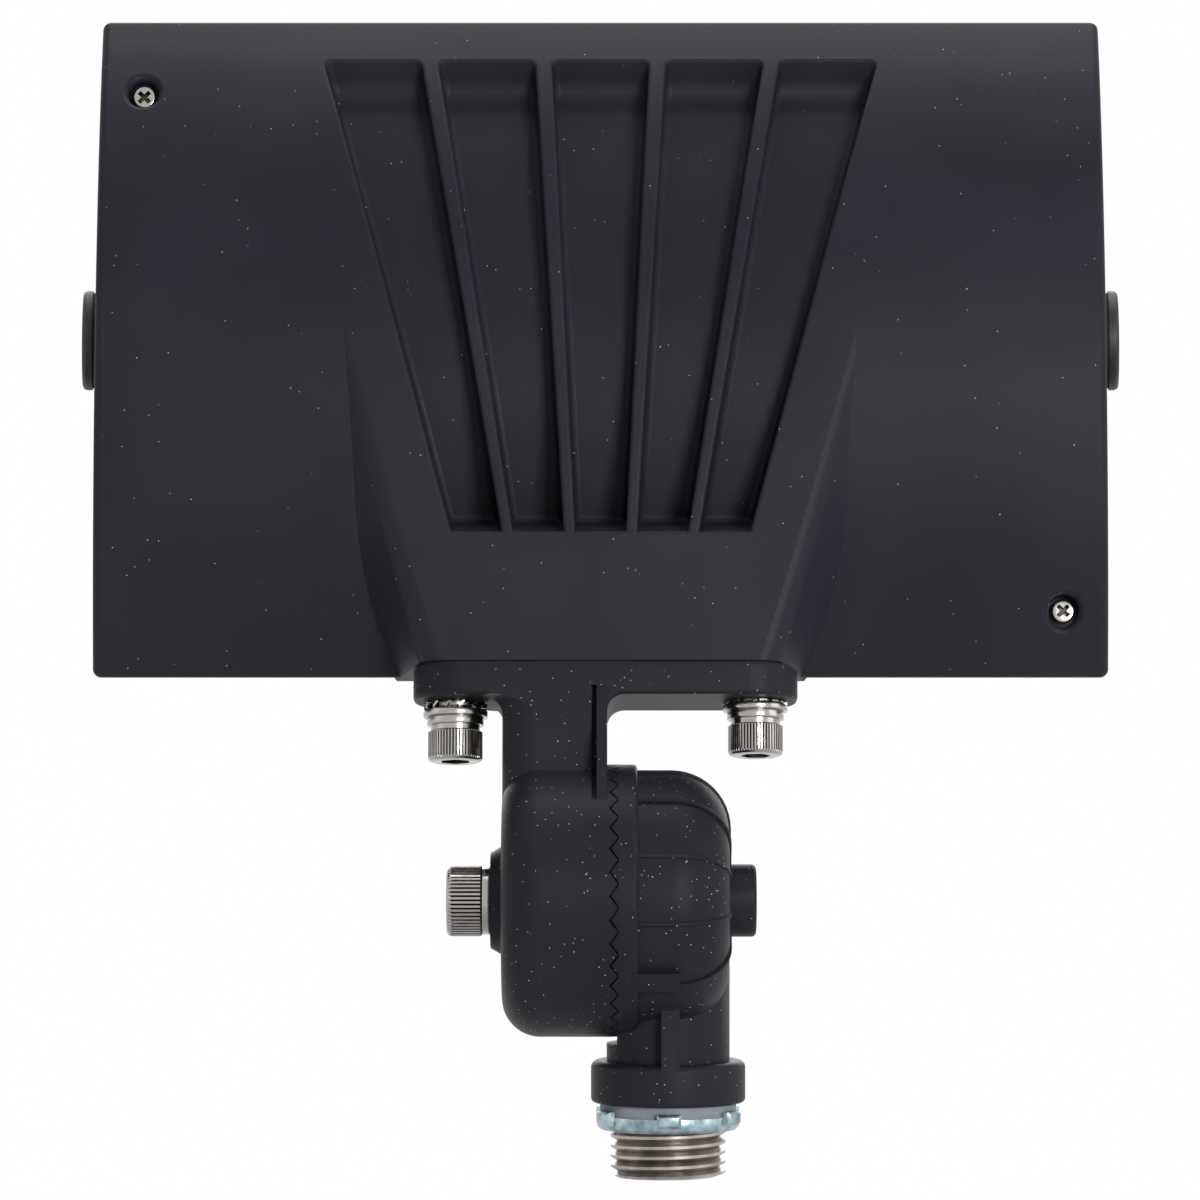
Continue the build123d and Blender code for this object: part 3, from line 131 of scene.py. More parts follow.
def powderCoat(name, look):
    # dark polyester powder coat: satin, finely pebbled, with sparse pale dots in its colour as painted
    # glints of its metal flakes
    sockets = {"Specular IOR Level": look["reflection"]}
    material, tree, shader, place = startMaterial(name, look["dark"], coat["roughness"], sockets=sockets)
    body = mottle(tree, shader, place, coat["patch"], look["dark"], look["light"])
    cells = addNode(tree, "TexVoronoi", {"Scale": 1 / look["cell"]}, {"Vector": place})
    reach = coat["flakeGlintRadius"] / look["cell"]
    near = addNode(tree, "Math", {1: reach}, {0: cells.outputs["Distance"]}, operation="LESS_THAN")
    chance = addNode(tree, "SeparateColor", links={"Color": cells.outputs["Color"]})
    picked = addNode(tree, "Math", {1: look["share"]}, {0: chance.outputs["Red"]}, operation="LESS_THAN")
    # painted glints: pale dots in the base colour standing for the glinting metal flakes
    flakeGlint = addNode(tree, "Math", links={0: near.outputs[0], 1: picked.outputs[0]}, operation="MULTIPLY")
    colour = {mixSocket["second"]: linearColour(coat["flakeGlint"])}
    links = {0: flakeGlint.outputs[0], mixSocket["first"]: body}
    mix = addNode(tree, "Mix", colour, links, data_type="RGBA")
    tree.links.new(mix.outputs[mixSocket["result"]], shader.inputs["Base Color"])
    values = {"Scale": 1 / coat["grain"], "Detail": coat["detail"]}
    noise = addNode(tree, "TexNoise", values, {"Vector": place})
    relief(tree, shader, noise.outputs["Fac"], coat)
    return material


headCoat = powderCoat("powderCoatHead", coat["head"])
knuckleCoat = powderCoat("powderCoatKnuckle", coat["knuckle"])

# nickel-plated steel: bright, with a faint wavy polish
brightNickel = finish("nickelPlatedSteel", {
    "colour": "#a5a29e", "metallic": 1.0, "roughness": 0.2,
    "grain": 1.2 * mm, "detail": 3.0, "shine": (0.12, 0.3), "bump": (0.2, 0.03 * mm),
})

# the same plating darkened as painted shade in a groove or recess: dark lines between bright ridges
grooveShadeNickel = finish("knurlGroovePaintedShade", {
    "colour": "#2b2826", "metallic": 1.0, "roughness": 0.35,
    "patch": 1.5 * mm, "dark": "#1d1b1a", "light": "#45413e",
})

# blue zinc on steel: cool grey, with a blotchy shine
blueZinc = finish("blueZincPlatedSteel", {
    "colour": "#8fa0a6", "metallic": 1.0, "roughness": 0.3,
    "patch": 2.5 * mm, "dark": "#71838a", "light": "#a9bcc3",
    "grain": 0.9 * mm, "detail": 4.0, "shine": (0.18, 0.45), "bump": (0.3, 0.05 * mm),
})

# bare die-cast metal cut by a threading die: warm grey, with fine lines around the thread
cutThread = finish("machinedCastAlloy", {
    "colour": "#a19b96", "metallic": 1.0, "roughness": 0.28,
    "patch": 4 * mm, "dark": "#938d88", "light": "#b5afa9", "stretch": (0.15, 0.15, 6.0),
    "grain": 1.0 * mm, "detail": 3.0, "shine": (0.22, 0.42), "bump": (0.25, 0.03 * mm),
})


def rubber(name, low, high):
    # moulded rubber: dull, with a fine dusty bloom
    return finish(name, {
        "colour": low, "roughness": 0.78, "patch": 6 * mm, "dark": low, "light": high,
        "grain": 0.4 * mm, "detail": 3.0, "bump": (0.3, 0.04 * mm),
    })


blackRubber = rubber("blackEpdmRubber", "#0e0e0f", "#151516")
greyRubber = rubber("greySealRubber", "#7c8189", "#8d929a")
padRubber = rubber("siliconeThermalPad", "#8d9297", "#9ba0a4")


def moulded(name, low, high, roughness, grain):
    # a smooth dull skin, as a moulded plastic, a board lacquer or a coat of paint has
    return finish(name, {
        "colour": low, "roughness": roughness, "patch": 15 * mm, "dark": low, "light": high,
        "grain": grain, "detail": 2.0, "bump": (0.35, 0.04 * mm),
    })


blackNylon = moulded("blackNylon", "#0c0c0e", "#111113", roughness=0.5, grain=0.5 * mm)
blackAbs = moulded("blackAbs", "#18181a", "#202023", roughness=0.45, grain=0.7 * mm)
leadPvc = moulded("whiteLeadPvc", "#d6d6d2", "#e0e0dc", roughness=0.4, grain=0.6 * mm)
greenBoard = moulded("greenBoardLacquer", "#0f4526", "#165a33", roughness=0.3, grain=0.9 * mm)
whiteBoard = moulded("whiteBoardLacquer", "#e4e4e0", "#eeeeea", roughness=0.35, grain=0.9 * mm)
greenEarth = moulded("greenCoatedSteel", "#1a6b35", "#237a40", roughness=0.35, grain=0.5 * mm)

# anodised reflector sheet: bright, with faint rolling lines along X
brightSheet = finish("anodisedReflectorSheet", {
    "colour": "#dfe0e0", "metallic": 1.0, "roughness": 0.18, "stretch": (0.05, 1.0, 1.0),
    "grain": 0.5 * mm, "detail": 2.0, "shine": (0.12, 0.28), "bump": (0.1, 0.02 * mm),
})

# yellow phosphor under clear silicone: a deep yellow that shines like wet glass
phosphor = finish("phosphorUnderSilicone", {
    "colour": "#d9b32e", "roughness": 0.3, "patch": 1.2 * mm, "dark": "#cfa625", "light": "#e6c548",
    "sockets": {"Coat Weight": 1.0, "Coat Roughness": 0.05},
})

# milled aluminium plate: pale, with arcs from the cutter
milled = {
    "colour": "#b9babd", "roughness": 0.35, "metallic": 1.0,
    "arcs": 8 * mm, "wobble": 1.5, "bump": (0.15, 0.02 * mm),
}
milledPlate, tree, shader, place = startMaterial(
    "milledAluminium", milled["colour"], milled["roughness"], milled["metallic"]
)
arcs = {"Scale": 1 / milled["arcs"], "Distortion": milled["wobble"]}
cutter = addNode(tree, "TexWave", arcs, {"Vector": place}, wave_type="RINGS")
relief(tree, shader, cutter.outputs["Fac"], milled)

# low-iron float glass: clear, and its shadow lets light through to the reflector
pane = {
    "colour": "#f4faf8", "roughness": 0.02, "grain": 40 * mm, "detail": 2.0, "shine": (0.01, 0.04),
    "sockets": {"Transmission Weight": 1.0, "IOR": 1.5},
}
floatGlass = finish("floatGlass", pane)
tree = floatGlass.node_tree
rays = addNode(tree, "LightPath").outputs["Is Shadow Ray"]
solid = tree.nodes["Principled BSDF"].outputs[0]
clear = addNode(tree, "BsdfTransparent", {"Color": linearColour(pane["colour"])}).outputs[0]
mix = addNode(tree, "MixShader", links={0: rays, 1: solid, 2: clear})
tree.links.new(mix.outputs[0], tree.nodes["Material Output"].inputs["Surface"])

finishes = {
    "rear_housing": headCoat,
    "front_frame": headCoat,
    "knuckle_arm": knuckleCoat,
    "knuckle_base": knuckleCoat,
    "joint_seal": blackRubber,
    "pivot_bolt": brightNickel,
    "pivot_spring_washer": brightNickel,
    "seal_ring": greyRubber,
    "locknut": blueZinc,
    "plate_gasket": blackRubber,
    "plate_bolts": brightNickel,
    "spring_washers": brightNickel,
    "flat_washers": brightNickel,
    "star_washers": brightNickel,
    "rear_screws": brightNickel,
    "side_plugs": blackNylon,
    "side_plug_seals": blackRubber,
    "housing_seal": blackRubber,
    "glass": floatGlass,
    "glass_gasket": blackRubber,
    "glass_clips": brightNickel,
    "glass_clip_screws": brightNickel,
    "reflector": brightSheet,
    "led_board": whiteBoard,
    "led_chips": phosphor,
    "led_board_screws": brightNickel,
    "thermal_pad": padRubber,
    "heat_plate": milledPlate,
    "heat_plate_screws": brightNickel,
    "driver_case": blackAbs,
    "driver_board": greenBoard,
    "driver_components": blackAbs,
    "driver_board_screws": brightNickel,
    "driver_screws": brightNickel,
    "earth_screw": greenEarth,
    "led_leads": leadPvc,
}
for nodeName, material in finishes.items():
    slots = nodes[nodeName].data.materials
    slots.clear()
    slots.append(material)
print("materials on", len(finishes), "nodes")


def deselect():
    bpy.ops.object.select_all(action="DESELECT")


def choose(piece):
    # makes it the one selected piece, and the active one
    deselect()
    piece.select_set(True)
    bpy.context.view_layer.objects.active = piece


def selectAll():
    bpy.ops.mesh.select_all(action="SELECT")


def openEdit(piece, kind="VERT"):
    choose(piece)
    bpy.ops.object.mode_set(mode="EDIT")
    bpy.ops.mesh.select_mode(type=kind)
    bpy.ops.mesh.select_all(action="DESELECT")


def closeEdit():
    bpy.ops.object.mode_set(mode="OBJECT")


def pick(piece, test, kind="VERT"):
    # selects, in edit mode, the points, edges or faces whose middle passes the test
    openEdit(piece, kind)
    closeEdit()
    mesh = piece.data
    if kind == "FACE":
        for face in mesh.polygons:
            face.select = bool(test(face.center))
    elif kind == "EDGE":
        for edge in mesh.edges:
            ends = [mesh.vertices[i].co for i in edge.vertices]
            edge.select = bool(test((ends[0] + ends[1]) / 2))
    else:
        for vertex in mesh.vertices:
            vertex.select = bool(test(vertex.co))
    bpy.ops.object.mode_set(mode="EDIT")


def called(piece, name):
    piece.name = name
    piece.data.name = name
    return piece


def added(name):
    # names what the last operator added, and puts its place into its mesh
    piece = called(bpy.context.object, name)
    bpy.ops.object.transform_apply()
    return piece


def cylinder(name, sides, radius, low, high):
    deselect()
    bpy.ops.mesh.primitive_cylinder_add(
        vertices=sides, radius=radius, depth=high - low, end_fill_type="NGON",
        location=(0, 0, (low + high) / 2),
    )
    return added(name)


def unitCube(name):
    deselect()
    bpy.ops.mesh.primitive_cube_add(size=1, location=(0, 0, 0))
    return added(name)


def extrude(x, y, z):
    bpy.ops.mesh.extrude_region_move(TRANSFORM_OT_translate={"value": (x, y, z)})


def squeeze(x, y):
    # scales what is selected toward the axis
    bpy.ops.transform.resize(value=(x, y, 1), center_override=(0, 0, 0))


def drawOut(dz, scale=1):
    # extrudes what is selected along Z and brings it in toward the axis
    extrude(0, 0, dz)
    squeeze(scale, scale)


def roundOver(radius, rounding, steps, way):
    # draws the selected end out over a quarter circle, up for way 1 and down for -1
    before = 0.0
    reached = radius
    for step in range(steps):
        after = math.radians(90 * (step + 1) / steps)
        narrower = radius - rounding * (1 - math.cos(after))
        drawOut(way * rounding * (math.sin(after) - math.sin(before)), narrower / reached)
        before = after
        reached = narrower


def faceOutwards(piece):
    openEdit(piece)
    selectAll()
    bpy.ops.mesh.normals_make_consistent(inside=False)
    closeEdit()


def cutAway(piece, height, normal):
    # drops what lies behind a level plane and closes the cut
    openEdit(piece)
    selectAll()
    bpy.ops.mesh.bisect(plane_co=(0, 0, height), plane_no=(0, 0, normal), use_fill=True, clear_inner=True)
    closeEdit()


def applyModifier(piece, kind, **settings):
    choose(piece)
    modifier = piece.modifiers.new(kind.title(), kind)
    for key, value in settings.items():
        setattr(modifier, key, value)
    bpy.ops.object.modifier_apply(modifier=modifier.name)


def cutBy(piece, tool):
    applyModifier(piece, "BOOLEAN", operation="DIFFERENCE", object=tool, solver="EXACT")
    bpy.data.objects.remove(tool, do_unlink=True)


def turned(degrees, axis):
    return Matrix.Rotation(math.radians(degrees), 4, axis)


def move(piece, matrix):
    choose(piece)
    piece.matrix_world = matrix @ piece.matrix_world
    bpy.ops.object.transform_apply()


def copyOf(piece, name):
    twin = piece.copy()
    twin.data = piece.data.copy()
    bpy.context.collection.objects.link(twin)
    return called(twin, name)


def joined(name, pieces):
    deselect()
    for piece in pieces:
        piece.select_set(True)
    bpy.context.view_layer.objects.active = pieces[0]
    bpy.ops.object.join()
    return called(pieces[0], name)


def atEach(piece, places):
    # the piece at the first place and a copy at each other one, joined under the piece's name
    name = piece.name
    copies = [piece] + [copyOf(piece, name + "Copy") for number in range(1, len(places))]
    for one, place in zip(copies, places):
        move(one, place)
    return joined(name, copies)


def cadCopy(nodeName, name):
    # a merged copy of a CAD node, free to be worked on
    source = nodes[nodeName]
    twin = copyOf(source, name)
    twin.parent = None
    twin.matrix_world = source.matrix_world
    move(twin, Matrix())
    openEdit(twin)
    selectAll()
    bpy.ops.mesh.remove_doubles(threshold=pinpoint)
    closeEdit()
    if twin.data.has_custom_normals:
        bpy.ops.mesh.customdata_custom_splitnormals_clear()
    return twin


def dress(piece, body, material, replaced=None, angle=smoothBelow):
    choose(piece)
    bpy.ops.object.shade_smooth_by_angle(angle=math.radians(angle))
    if material:
        piece.data.materials.clear()
        piece.data.materials.append(material)
    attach(piece, body)
    if replaced:
        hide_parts(replaced)
    return piece


def shadeWhere(piece, test):
    # plated all over, with painted shade on the faces that pass the test
    piece.data.materials.append(brightNickel)
    piece.data.materials.append(grooveShadeNickel)
    for face in piece.data.polygons:
        face.material_index = int(test(face))


pivot = {"z": 36.6 * mm, "tilt": -10}
pivotFrame = Matrix.Translation((0, 0, pivot["z"]))
armFrame = pivotFrame @ turned(pivot["tilt"], "X")

# perTurn times cuts stays a multiple of 4, so that points fall on both axes
# painted shade lies on upright faces that are sunk by more than the given share of the groove's depth
knurls = {"depth": 0.24 * mm, "perTurn": 54, "cuts": 4, "shadeFrom": 0.3, "upright": 0.1, "endSteps": 3}


def capScrew(name, size):
    # a knurled socket cap screw, head down from z = 0, shank up
    sides = knurls["perTurn"] * knurls["cuts"]
    radius = size["radius"]
    low = size["endRound"] - size["head"]
    seat = -size["seatRound"]
    piece = cylinder(name, sides, radius, low, seat)
    pick(piece, lambda c: c.z < low + slack, "FACE")
    roundOver(radius, size["endRound"], knurls["endSteps"], -1)
    closeEdit()
    pick(piece, lambda c: c.z > seat - slack, "FACE")
    drawOut(size["seatRound"], 1 - size["seatRound"] / radius)
    drawOut(0, size["neck"] / (radius - size["seatRound"]))
    drawOut(size["neckLong"])
    drawOut(0, size["shank"] / size["neck"])
    drawOut(size["shankLong"])
    closeEdit()
    step = 2 * math.pi / sides

    def valley(c):
        turn = round(math.atan2(c.y, c.x) / step)
        return low - slack < c.z < seat + slack and turn % knurls["cuts"] == 0

    def inShade(face):
        out = math.hypot(face.center.x, face.center.y)
        side = abs(face.normal.z) < knurls["upright"] and low < face.center.z < seat
        return side and radius - knurls["depth"] < out < radius - knurls["shadeFrom"] * knurls["depth"]

    pick(piece, valley)
    narrow = 1 - knurls["depth"] / radius
    squeeze(narrow, narrow)
    closeEdit()
    corner = size["hex"] / 2 / math.cos(math.radians(30))
    cutBy(piece, cylinder("socket", 6, corner, -size["head"] - overcut, -size["head"] + size["hexDeep"]))
    # painted shade in the knurl valleys
    shadeWhere(piece, inShade)
    return piece


pivotScrew = {
    "radius": 6.5 * mm, "head": 6.5 * mm, "endRound": 0.9 * mm, "seatRound": 0.3 * mm,
    "neck": 4.0 * mm, "neckLong": 0.5 * mm, "shank": 4.0 * mm, "shankLong": 37.5 * mm,
    "hex": 6.0 * mm, "hexDeep": 4.0 * mm, "seat": -33.8 * mm,
}
piece = capScrew("pivotScrew", pivotScrew)
move(piece, Matrix.Translation((pivotScrew["seat"], 0, pivot["z"])) @ turned(90, "Y"))
dress(piece, "base", None, "pivot_bolt")

plateScrew = {
    "radius": 5.0 * mm, "head": 5.6 * mm, "endRound": 0.7 * mm, "seatRound": 0.25 * mm,
    "neck": 4.5 * mm, "neckLong": 1.0 * mm, "shank": 3.0 * mm, "shankLong": 18.2 * mm,
    "hex": 5.0 * mm, "hexDeep": 3.0 * mm,
    "places": (((-38.85 * mm, 0, 31.1 * mm), 0), ((16.05 * mm, 0, 32.2 * mm), 25)),  # and the socket's turn
}
places = [armFrame @ Matrix.Translation(at) @ turned(turn, "Z") for at, turn in plateScrew["places"]]
piece = atEach(capScrew("plateScrews", plateScrew), places)
dress(piece, "head", None, "plate_bolts")
print("knurled screws modelled")

rearScrew = {
    "sides": 48, "radius": 2.2 * mm, "head": 1.9 * mm, "round": 0.45 * mm, "steps": 4, "shank": 1.5 * mm,
    "shankLong": 23 * mm, "crossLong": 3.7 * mm, "crossWide": 1.05 * mm, "crossDeep": 1.1 * mm,
    "taper": (0.5, 0.55), "turns": (45, 135), "shadeFrom": 0.05 * mm, "facing": 0.2,
    "places": ((-97.7 * mm, 2.04 * mm, 151.45 * mm), (73.1 * mm, 4.65 * mm, 54.35 * mm)),
}


def crossArm(turn):
    # one arm of the driver's recess, narrower at its floor
    deep = rearScrew["crossDeep"]
    arm = unitCube("crossArm")
    move(arm, Matrix.Diagonal((rearScrew["crossLong"], rearScrew["crossWide"], 2 * deep, 1)))
    pick(arm, lambda c: c.z < slack - deep, "FACE")
    squeeze(*rearScrew["taper"])
    closeEdit()
    move(arm, turned(turn, "Z"))
    return arm


def crossScrew(name):
    # a domed screw with a cross recess, its head's crown at z = 0
    size = rearScrew
    piece = cylinder(name, size["sides"], size["radius"], -size["head"], -size["round"])
    pick(piece, lambda c: c.z > -size["round"] - slack, "FACE")
    roundOver(size["radius"], size["round"], size["steps"], 1)
    closeEdit()
    pick(piece, lambda c: c.z < -size["head"] + slack, "FACE")
    drawOut(0, size["shank"] / size["radius"])
    drawOut(-size["shankLong"])
    closeEdit()
    for turn in size["turns"]:
        cutBy(piece, crossArm(turn))

    def inShade(face):
        flat = Vector((face.center.x, face.center.y, 0))
        inward = flat.length < pinpoint or flat.normalized().dot(face.normal) < size["facing"]
        inside = flat.length < size["crossLong"] / 2 and inward
        return inside and -size["crossDeep"] - slack < face.center.z < -size["shadeFrom"]

    # painted shade inside the cross recess
    shadeWhere(piece, inShade)
    return piece


places = [armFrame @ Matrix.Translation(at) @ turned(90, "X") for at in rearScrew["places"]]
dress(atEach(crossScrew("rearScrews"), places), "head", None, "rear_screws")
print("cross screws modelled")

# a three-sided cylinder of radius 1 is 1.5 tall and 0.866 wide to each side
triangle = {"tall": 1.5, "half": 0.866}
tooth = {
    "tip": -10.35 * mm, "root": -9.1 * mm, "half": 1.83 * mm, "inside": 23.6 * mm, "outside": 24.68 * mm,
    "count": 36, "phase": 5, "edge": 0.12 * mm, "edgeRows": 2, "crest": 0.05 * mm,
    "smoothBelow": 30,
}
long = (tooth["root"] - tooth["tip"]) / triangle["tall"]
deep = tooth["outside"] - tooth["inside"]
crown = cylinder("baseTeeth", 3, 1, -0.5, 0.5)
move(
    crown,
    Matrix.Translation((tooth["root"] - long / 2, 0, (tooth["inside"] + tooth["outside"]) / 2))
    @ Matrix.Diagonal((long, tooth["half"] / triangle["half"], deep, 1))
    @ turned(90, "Z"),
)
pick(crown, lambda c: abs(c.y) < slack and c.x < tooth["tip"] + tooth["crest"], "EDGE")
bpy.ops.mesh.bevel(offset=tooth["edge"], segments=tooth["edgeRows"], affect="EDGES")
selectAll()
copies = tooth["count"] - 1
bpy.ops.mesh.spin(
    steps=copies, dupli=True, angle=2 * math.pi * copies / tooth["count"], center=(0, 0, 0), axis=(1, 0, 0)
)
closeEdit()
move(crown, pivotFrame @ turned(tooth["phase"], "X"))
dress(crown, "base", knuckleCoat, angle=tooth["smoothBelow"])
print("base teeth modelled")

bead = {
    "section": 0.4 * mm, "sides": 8, "on": 23.6 * mm, "from": -6.5 * mm, "turnFrom": 0.5 * mm,
    "turn": 10.5 * mm, "down": 5.5 * mm, "steps": 12, "angles": (-37.3, -7.3, 22.7, 52.7, 82.7),
    "smoothBelow": 40,
}


def domeBead(name):
    # a thin raised line along the dome, over its rounding and down its end, on top of the pivot's axis
    deselect()
    bpy.ops.mesh.primitive_circle_add(
        vertices=bead["sides"], radius=bead["section"], fill_type="NGON",
        location=(bead["from"], 0, bead["on"]), rotation=(0, math.radians(90), 0),
    )
    line = added(name)
    pick(line, lambda c: True, "FACE")
    extrude(bead["turnFrom"] - bead["from"], 0, 0)
    bpy.ops.mesh.spin(
        steps=bead["steps"], angle=math.radians(-90),
        center=(bead["turnFrom"], 0, bead["on"] - bead["turn"]), axis=(0, 1, 0),
    )
    extrude(0, 0, -bead["down"])
    closeEdit()
    faceOutwards(line)
    return line


places = [pivotFrame @ turned(90 - angle, "X") for angle in bead["angles"]]
piece = atEach(domeBead("domeBeads"), places)
dress(piece, "base", knuckleCoat, angle=bead["smoothBelow"])
print("dome beads modelled")

nipple = {
    "root": 9.5 * mm, "crest": 10.45 * mm, "bore": 7.6 * mm, "end": -13.4 * mm, "pitch": 1.814 * mm,
    "turns": 8, "rootHalf": 0.88 * mm, "crestHalf": 0.26 * mm, "sunk": 0.2 * mm, "start": -16.08 * mm,
    "sides": 96, "chamfer": 1.0 * mm, "chamferFrom": 0.3 * mm, "endShare": 0.93, "top": -0.02 * mm,
    "threadTop": -2.0 * mm,
}
casting = cadCopy("knuckle_base", "knuckleCasting")
cutAway(casting, nipple["top"] / 2, 1)
dress(casting, "base", knuckleCoat, "knuckle_base")

core = cylinder("threadedNipple", nipple["sides"], nipple["root"], nipple["end"], nipple["top"])
low, high = nipple["end"] - overcut, nipple["top"] + overcut
cutBy(core, cylinder("bore", nipple["sides"], nipple["bore"], low, high))

# the ridge's section starts as a plane of 1 m, whose corners are moved one by one
deselect()
bpy.ops.mesh.primitive_plane_add(size=1, location=(0, 0, 0))
ridge = added("threadRidge")
move(ridge, turned(90, "X"))
flanks = (
    (-0.5, nipple["root"] - nipple["sunk"], nipple["rootHalf"]),
    (0.5, nipple["crest"], nipple["crestHalf"]),
)
for x, out, half in flanks:
    for z, rise in ((-0.5, -half), (0.5, half)):
        pick(ridge, lambda c: (c - Vector((x, 0, z))).length < slack)
        bpy.ops.transform.translate(value=Vector((out, 0, nipple["start"] + rise)) - Vector((x, 0, z)))
        closeEdit()
openEdit(ridge, "FACE")
selectAll()
bpy.ops.mesh.delete(type="ONLY_FACE")
closeEdit()
applyModifier(
    ridge, "SCREW", axis="Z", angle=2 * math.pi, screw_offset=nipple["pitch"], iterations=nipple["turns"],
    steps=nipple["sides"], render_steps=nipple["sides"], use_merge_vertices=False, use_normal_calculate=True,
)
cutAway(ridge, nipple["end"], 1)
cutAway(ridge, nipple["threadTop"], -1)
faceOutwards(ridge)
piece = joined("threadedNipple", [core, ridge])
rim = nipple["root"] - nipple["chamferFrom"]
pick(piece, lambda c: c.z < nipple["end"] + slack and math.hypot(c.x, c.y) > rim)
bpy.ops.transform.resize(
    value=(nipple["endShare"], nipple["endShare"], 1), center_override=(0, 0, 0),
    use_proportional_edit=True, proportional_edit_falloff="LINEAR", proportional_size=nipple["chamfer"],
)
closeEdit()
dress(piece, "base", cutThread)
print("nipple modelled")

softEdge = {"small": 0.15 * mm, "frame": 0.35 * mm, "rows": 2, "sharperThan": 40, "frameAngle": 20}


def softened(nodeName, name, width, body, material, angle=smoothBelow):
    # the CAD shape with its sharp edges broken
    piece = cadCopy(nodeName, name)
    limit = math.radians(softEdge["sharperThan"])
    applyModifier(
        piece, "BEVEL", width=width, segments=softEdge["rows"], limit_method="ANGLE", angle_limit=limit
    )
    return dress(piece, body, material, nodeName, angle)


softened("locknut", "lockingNut", softEdge["small"], "nut", blueZinc)
nickelRings = (
    ("flat_washers", "flatWashers", "head"),
    ("spring_washers", "springWashers", "head"),
    ("pivot_spring_washer", "pivotWasher", "base"),
)
for nodeName, name, body in nickelRings:
    softened(nodeName, name, softEdge["small"], body, brightNickel)
softened(
    "front_frame", "frontFrame", softEdge["frame"], "head", headCoat, softEdge["frameAngle"]
)
print("small parts softened")

lockWasher = {
    "sides": 84, "teeth": 14, "inner": 3.3 * mm, "ring": 4.7 * mm, "reach": 5.8 * mm, "sheet": 0.5 * mm,
    "wide": 1.75 * mm, "sunk": 0.3 * mm, "toothSheet": 0.9, "tipShare": 0.8, "edge": 0.07 * mm,
    "twist": (44, 4),  # degrees, left and right
    "places": ((-38.85 * mm, 34.8 * mm, 1.7 * mm), (16.05 * mm, 35.9 * mm, 0.6 * mm)),  # x, z and height
}


def starWasher(name, twist):
    # a thin ring with teeth twisted out of its plane
    thick = lockWasher["sheet"]
    ring = cylinder(name, lockWasher["sides"], lockWasher["ring"], -thick / 2, thick / 2)
    cutBy(ring, cylinder("hole", lockWasher["sides"], lockWasher["inner"], -thick, thick))
    span = lockWasher["reach"] - lockWasher["ring"] + lockWasher["sunk"]
    one = unitCube("tooth")
    move(one, Matrix.Diagonal((span, lockWasher["wide"], thick * lockWasher["toothSheet"], 1)))
    pick(one, lambda c: c.x > span / 2 - slack, "FACE")
    squeeze(1, lockWasher["tipShare"])
    selectAll()
    bpy.ops.mesh.bevel(offset=lockWasher["edge"], segments=1, affect="EDGES")
    closeEdit()
    move(one, Matrix.Translation((lockWasher["reach"] - span / 2, 0, 0)) @ turned(twist, "X"))
    step = 360 / lockWasher["teeth"]
    teeth = atEach(one, [turned(step * number, "Z") for number in range(lockWasher["teeth"])])
    return joined(name, [ring, teeth])


washers = []
for twist, (x, z, tall) in zip(lockWasher["twist"], lockWasher["places"]):
    washer = starWasher("starWashers", twist)
    move(washer, armFrame @ Matrix.Translation((x, 0, z + tall / 2)))
    washers.append(washer)
dress(joined("starWashers", washers), "head", brightNickel, "star_washers")
print("lock washers modelled")

view = {
    "x": -12.4 * mm, "z": 91.3 * mm, "distance": 1000 * mm,
    "focal": 164.8, "sensor": 36, "clipFrom": 10 * mm,
}
deselect()
bpy.ops.object.camera_add(
    location=(view["x"], -view["distance"], view["z"]), rotation=(math.radians(90), 0, 0)
)
camera = bpy.context.object
camera.data.lens = view["focal"]
camera.data.sensor_width = view["sensor"]
camera.data.clip_start = view["clipFrom"]
bpy.context.scene.camera = camera

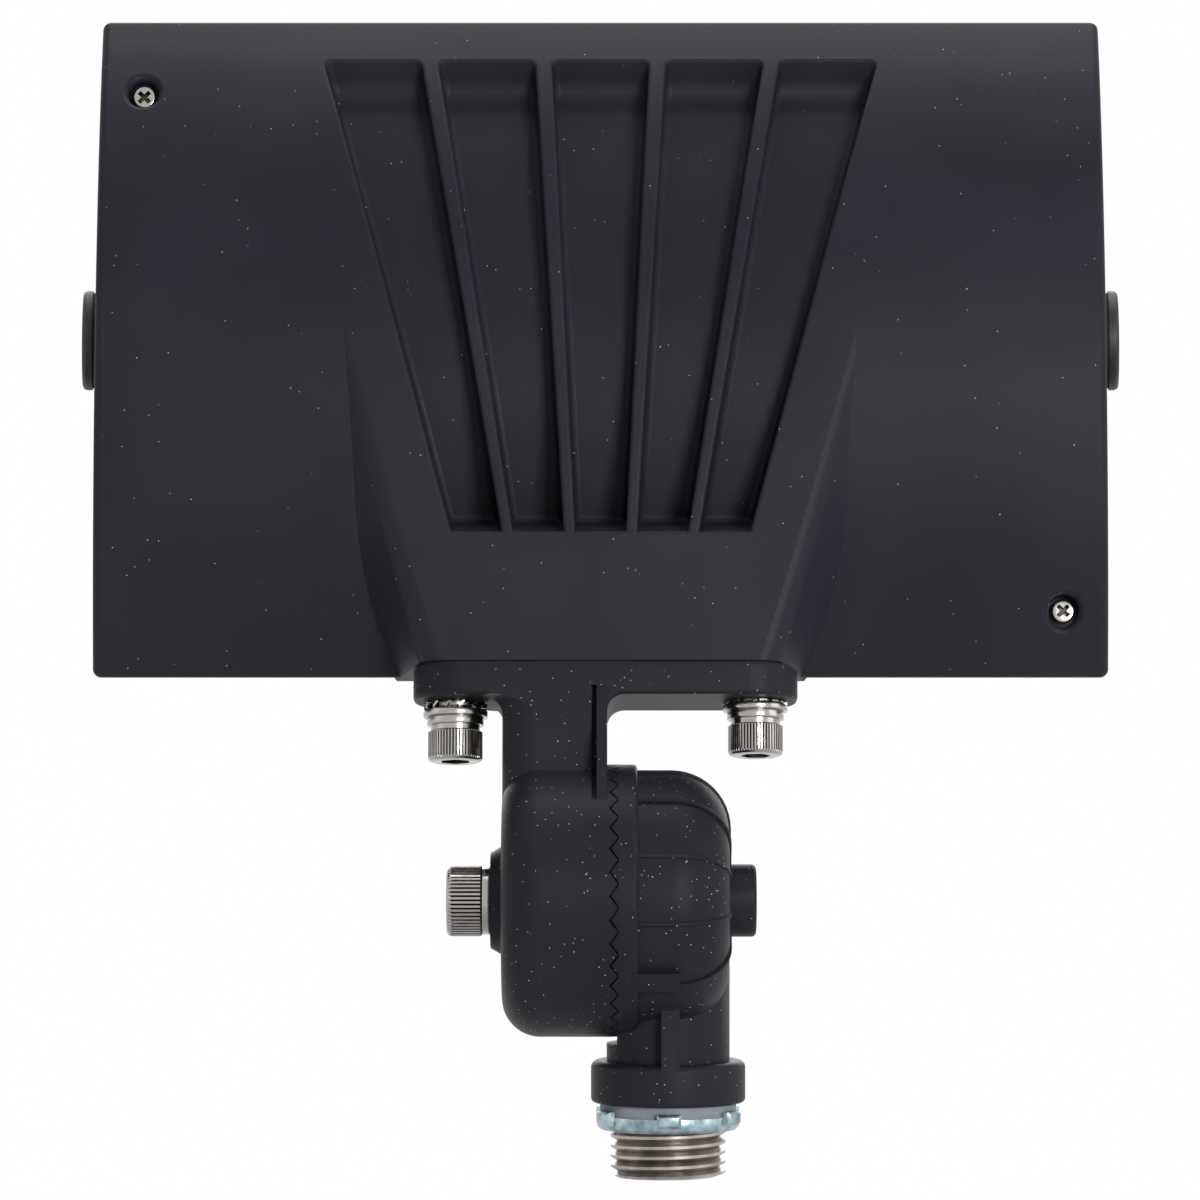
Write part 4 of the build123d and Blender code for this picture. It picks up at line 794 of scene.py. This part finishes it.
lampsAim = Vector((view["x"], 0, 100 * mm))
lamps = [
    {"at": (0.42, -1.15, 0.3), "size": 0.3, "power": 10},  # key, from behind the lamp and to the right
    {"at": (0.05, 0.32, 1.2), "size": 0.9, "power": 9},  # from above
    {"at": (-1.0, -0.25, 0.3), "size": 0.5, "power": 0.3},  # left side
    {"at": (1.0, -0.25, 0.3), "size": 0.6, "power": 1.5},  # right side
    {"at": (0.0, 0.95, 0.5), "size": 0.9, "power": 6},  # on the glass
]
for number, lamp in enumerate(lamps):
    spot = Vector(lamp["at"])
    turn = (lampsAim - spot).to_track_quat("-Z", "Y").to_euler()
    bpy.ops.object.light_add(type="AREA", location=spot, rotation=turn)
    light = bpy.context.object
    light.name = "softbox%d" % number
    light.data.size = lamp["size"]
    light.data.energy = lamp["power"]


def seenDirectly(tree):
    # 1 for what the camera sees, straight or in metal and glass
    rays = addNode(tree, "LightPath").outputs
    straight = {0: rays["Is Camera Ray"], 1: rays["Is Glossy Ray"]}
    seen = addNode(tree, "Math", links=straight, operation="MAXIMUM").outputs[0]
    through = {0: seen, 1: rays["Is Transmission Ray"]}
    return addNode(tree, "Math", links=through, operation="MAXIMUM").outputs[0]


sky = {"light": 0.08, "shown": 1.0}
world = bpy.data.worlds.new("studio")
bpy.context.scene.world = world
world.use_nodes = True
tree = world.node_tree
levels = {"To Min": sky["light"], "To Max": sky["shown"]}
level = addNode(tree, "MapRange", levels, {"Value": seenDirectly(tree)})
tree.links.new(level.outputs["Result"], tree.nodes["Background"].inputs["Strength"])
tree.nodes["Background"].inputs["Color"].default_value = white

# the floor keeps the part's shadow and turns white away from it
floor = {
    "colour": "#f4f4f4", "roughness": 0.8, "z": -60 * mm, "size": 12.0,
    "shadeTo": 0.2, "whiteFrom": 0.37,
}
bpy.ops.mesh.primitive_plane_add(size=floor["size"], location=(0, 0, floor["z"]))
ground = bpy.context.object
ground.name = "floor"
material, tree, shader, place = startMaterial("paleFloor", floor["colour"], floor["roughness"])
away = addNode(tree, "VectorMath", links={0: place}, operation="LENGTH").outputs["Value"]
ends = {"From Min": floor["shadeTo"], "From Max": floor["whiteFrom"]}
fade = addNode(tree, "MapRange", ends, {"Value": away}).outputs["Result"]
glow = addNode(tree, "Emission", {"Color": white}).outputs[0]
share = addNode(tree, "Math", links={0: seenDirectly(tree), 1: fade}, operation="MULTIPLY").outputs[0]
mix = addNode(tree, "MixShader", links={0: share, 1: shader.outputs[0], 2: glow})
tree.links.new(mix.outputs[0], tree.nodes["Material Output"].inputs["Surface"])
ground.data.materials.append(material)
bpy.context.scene.view_settings.view_transform = "Standard"
print("camera, lamps and floor set")
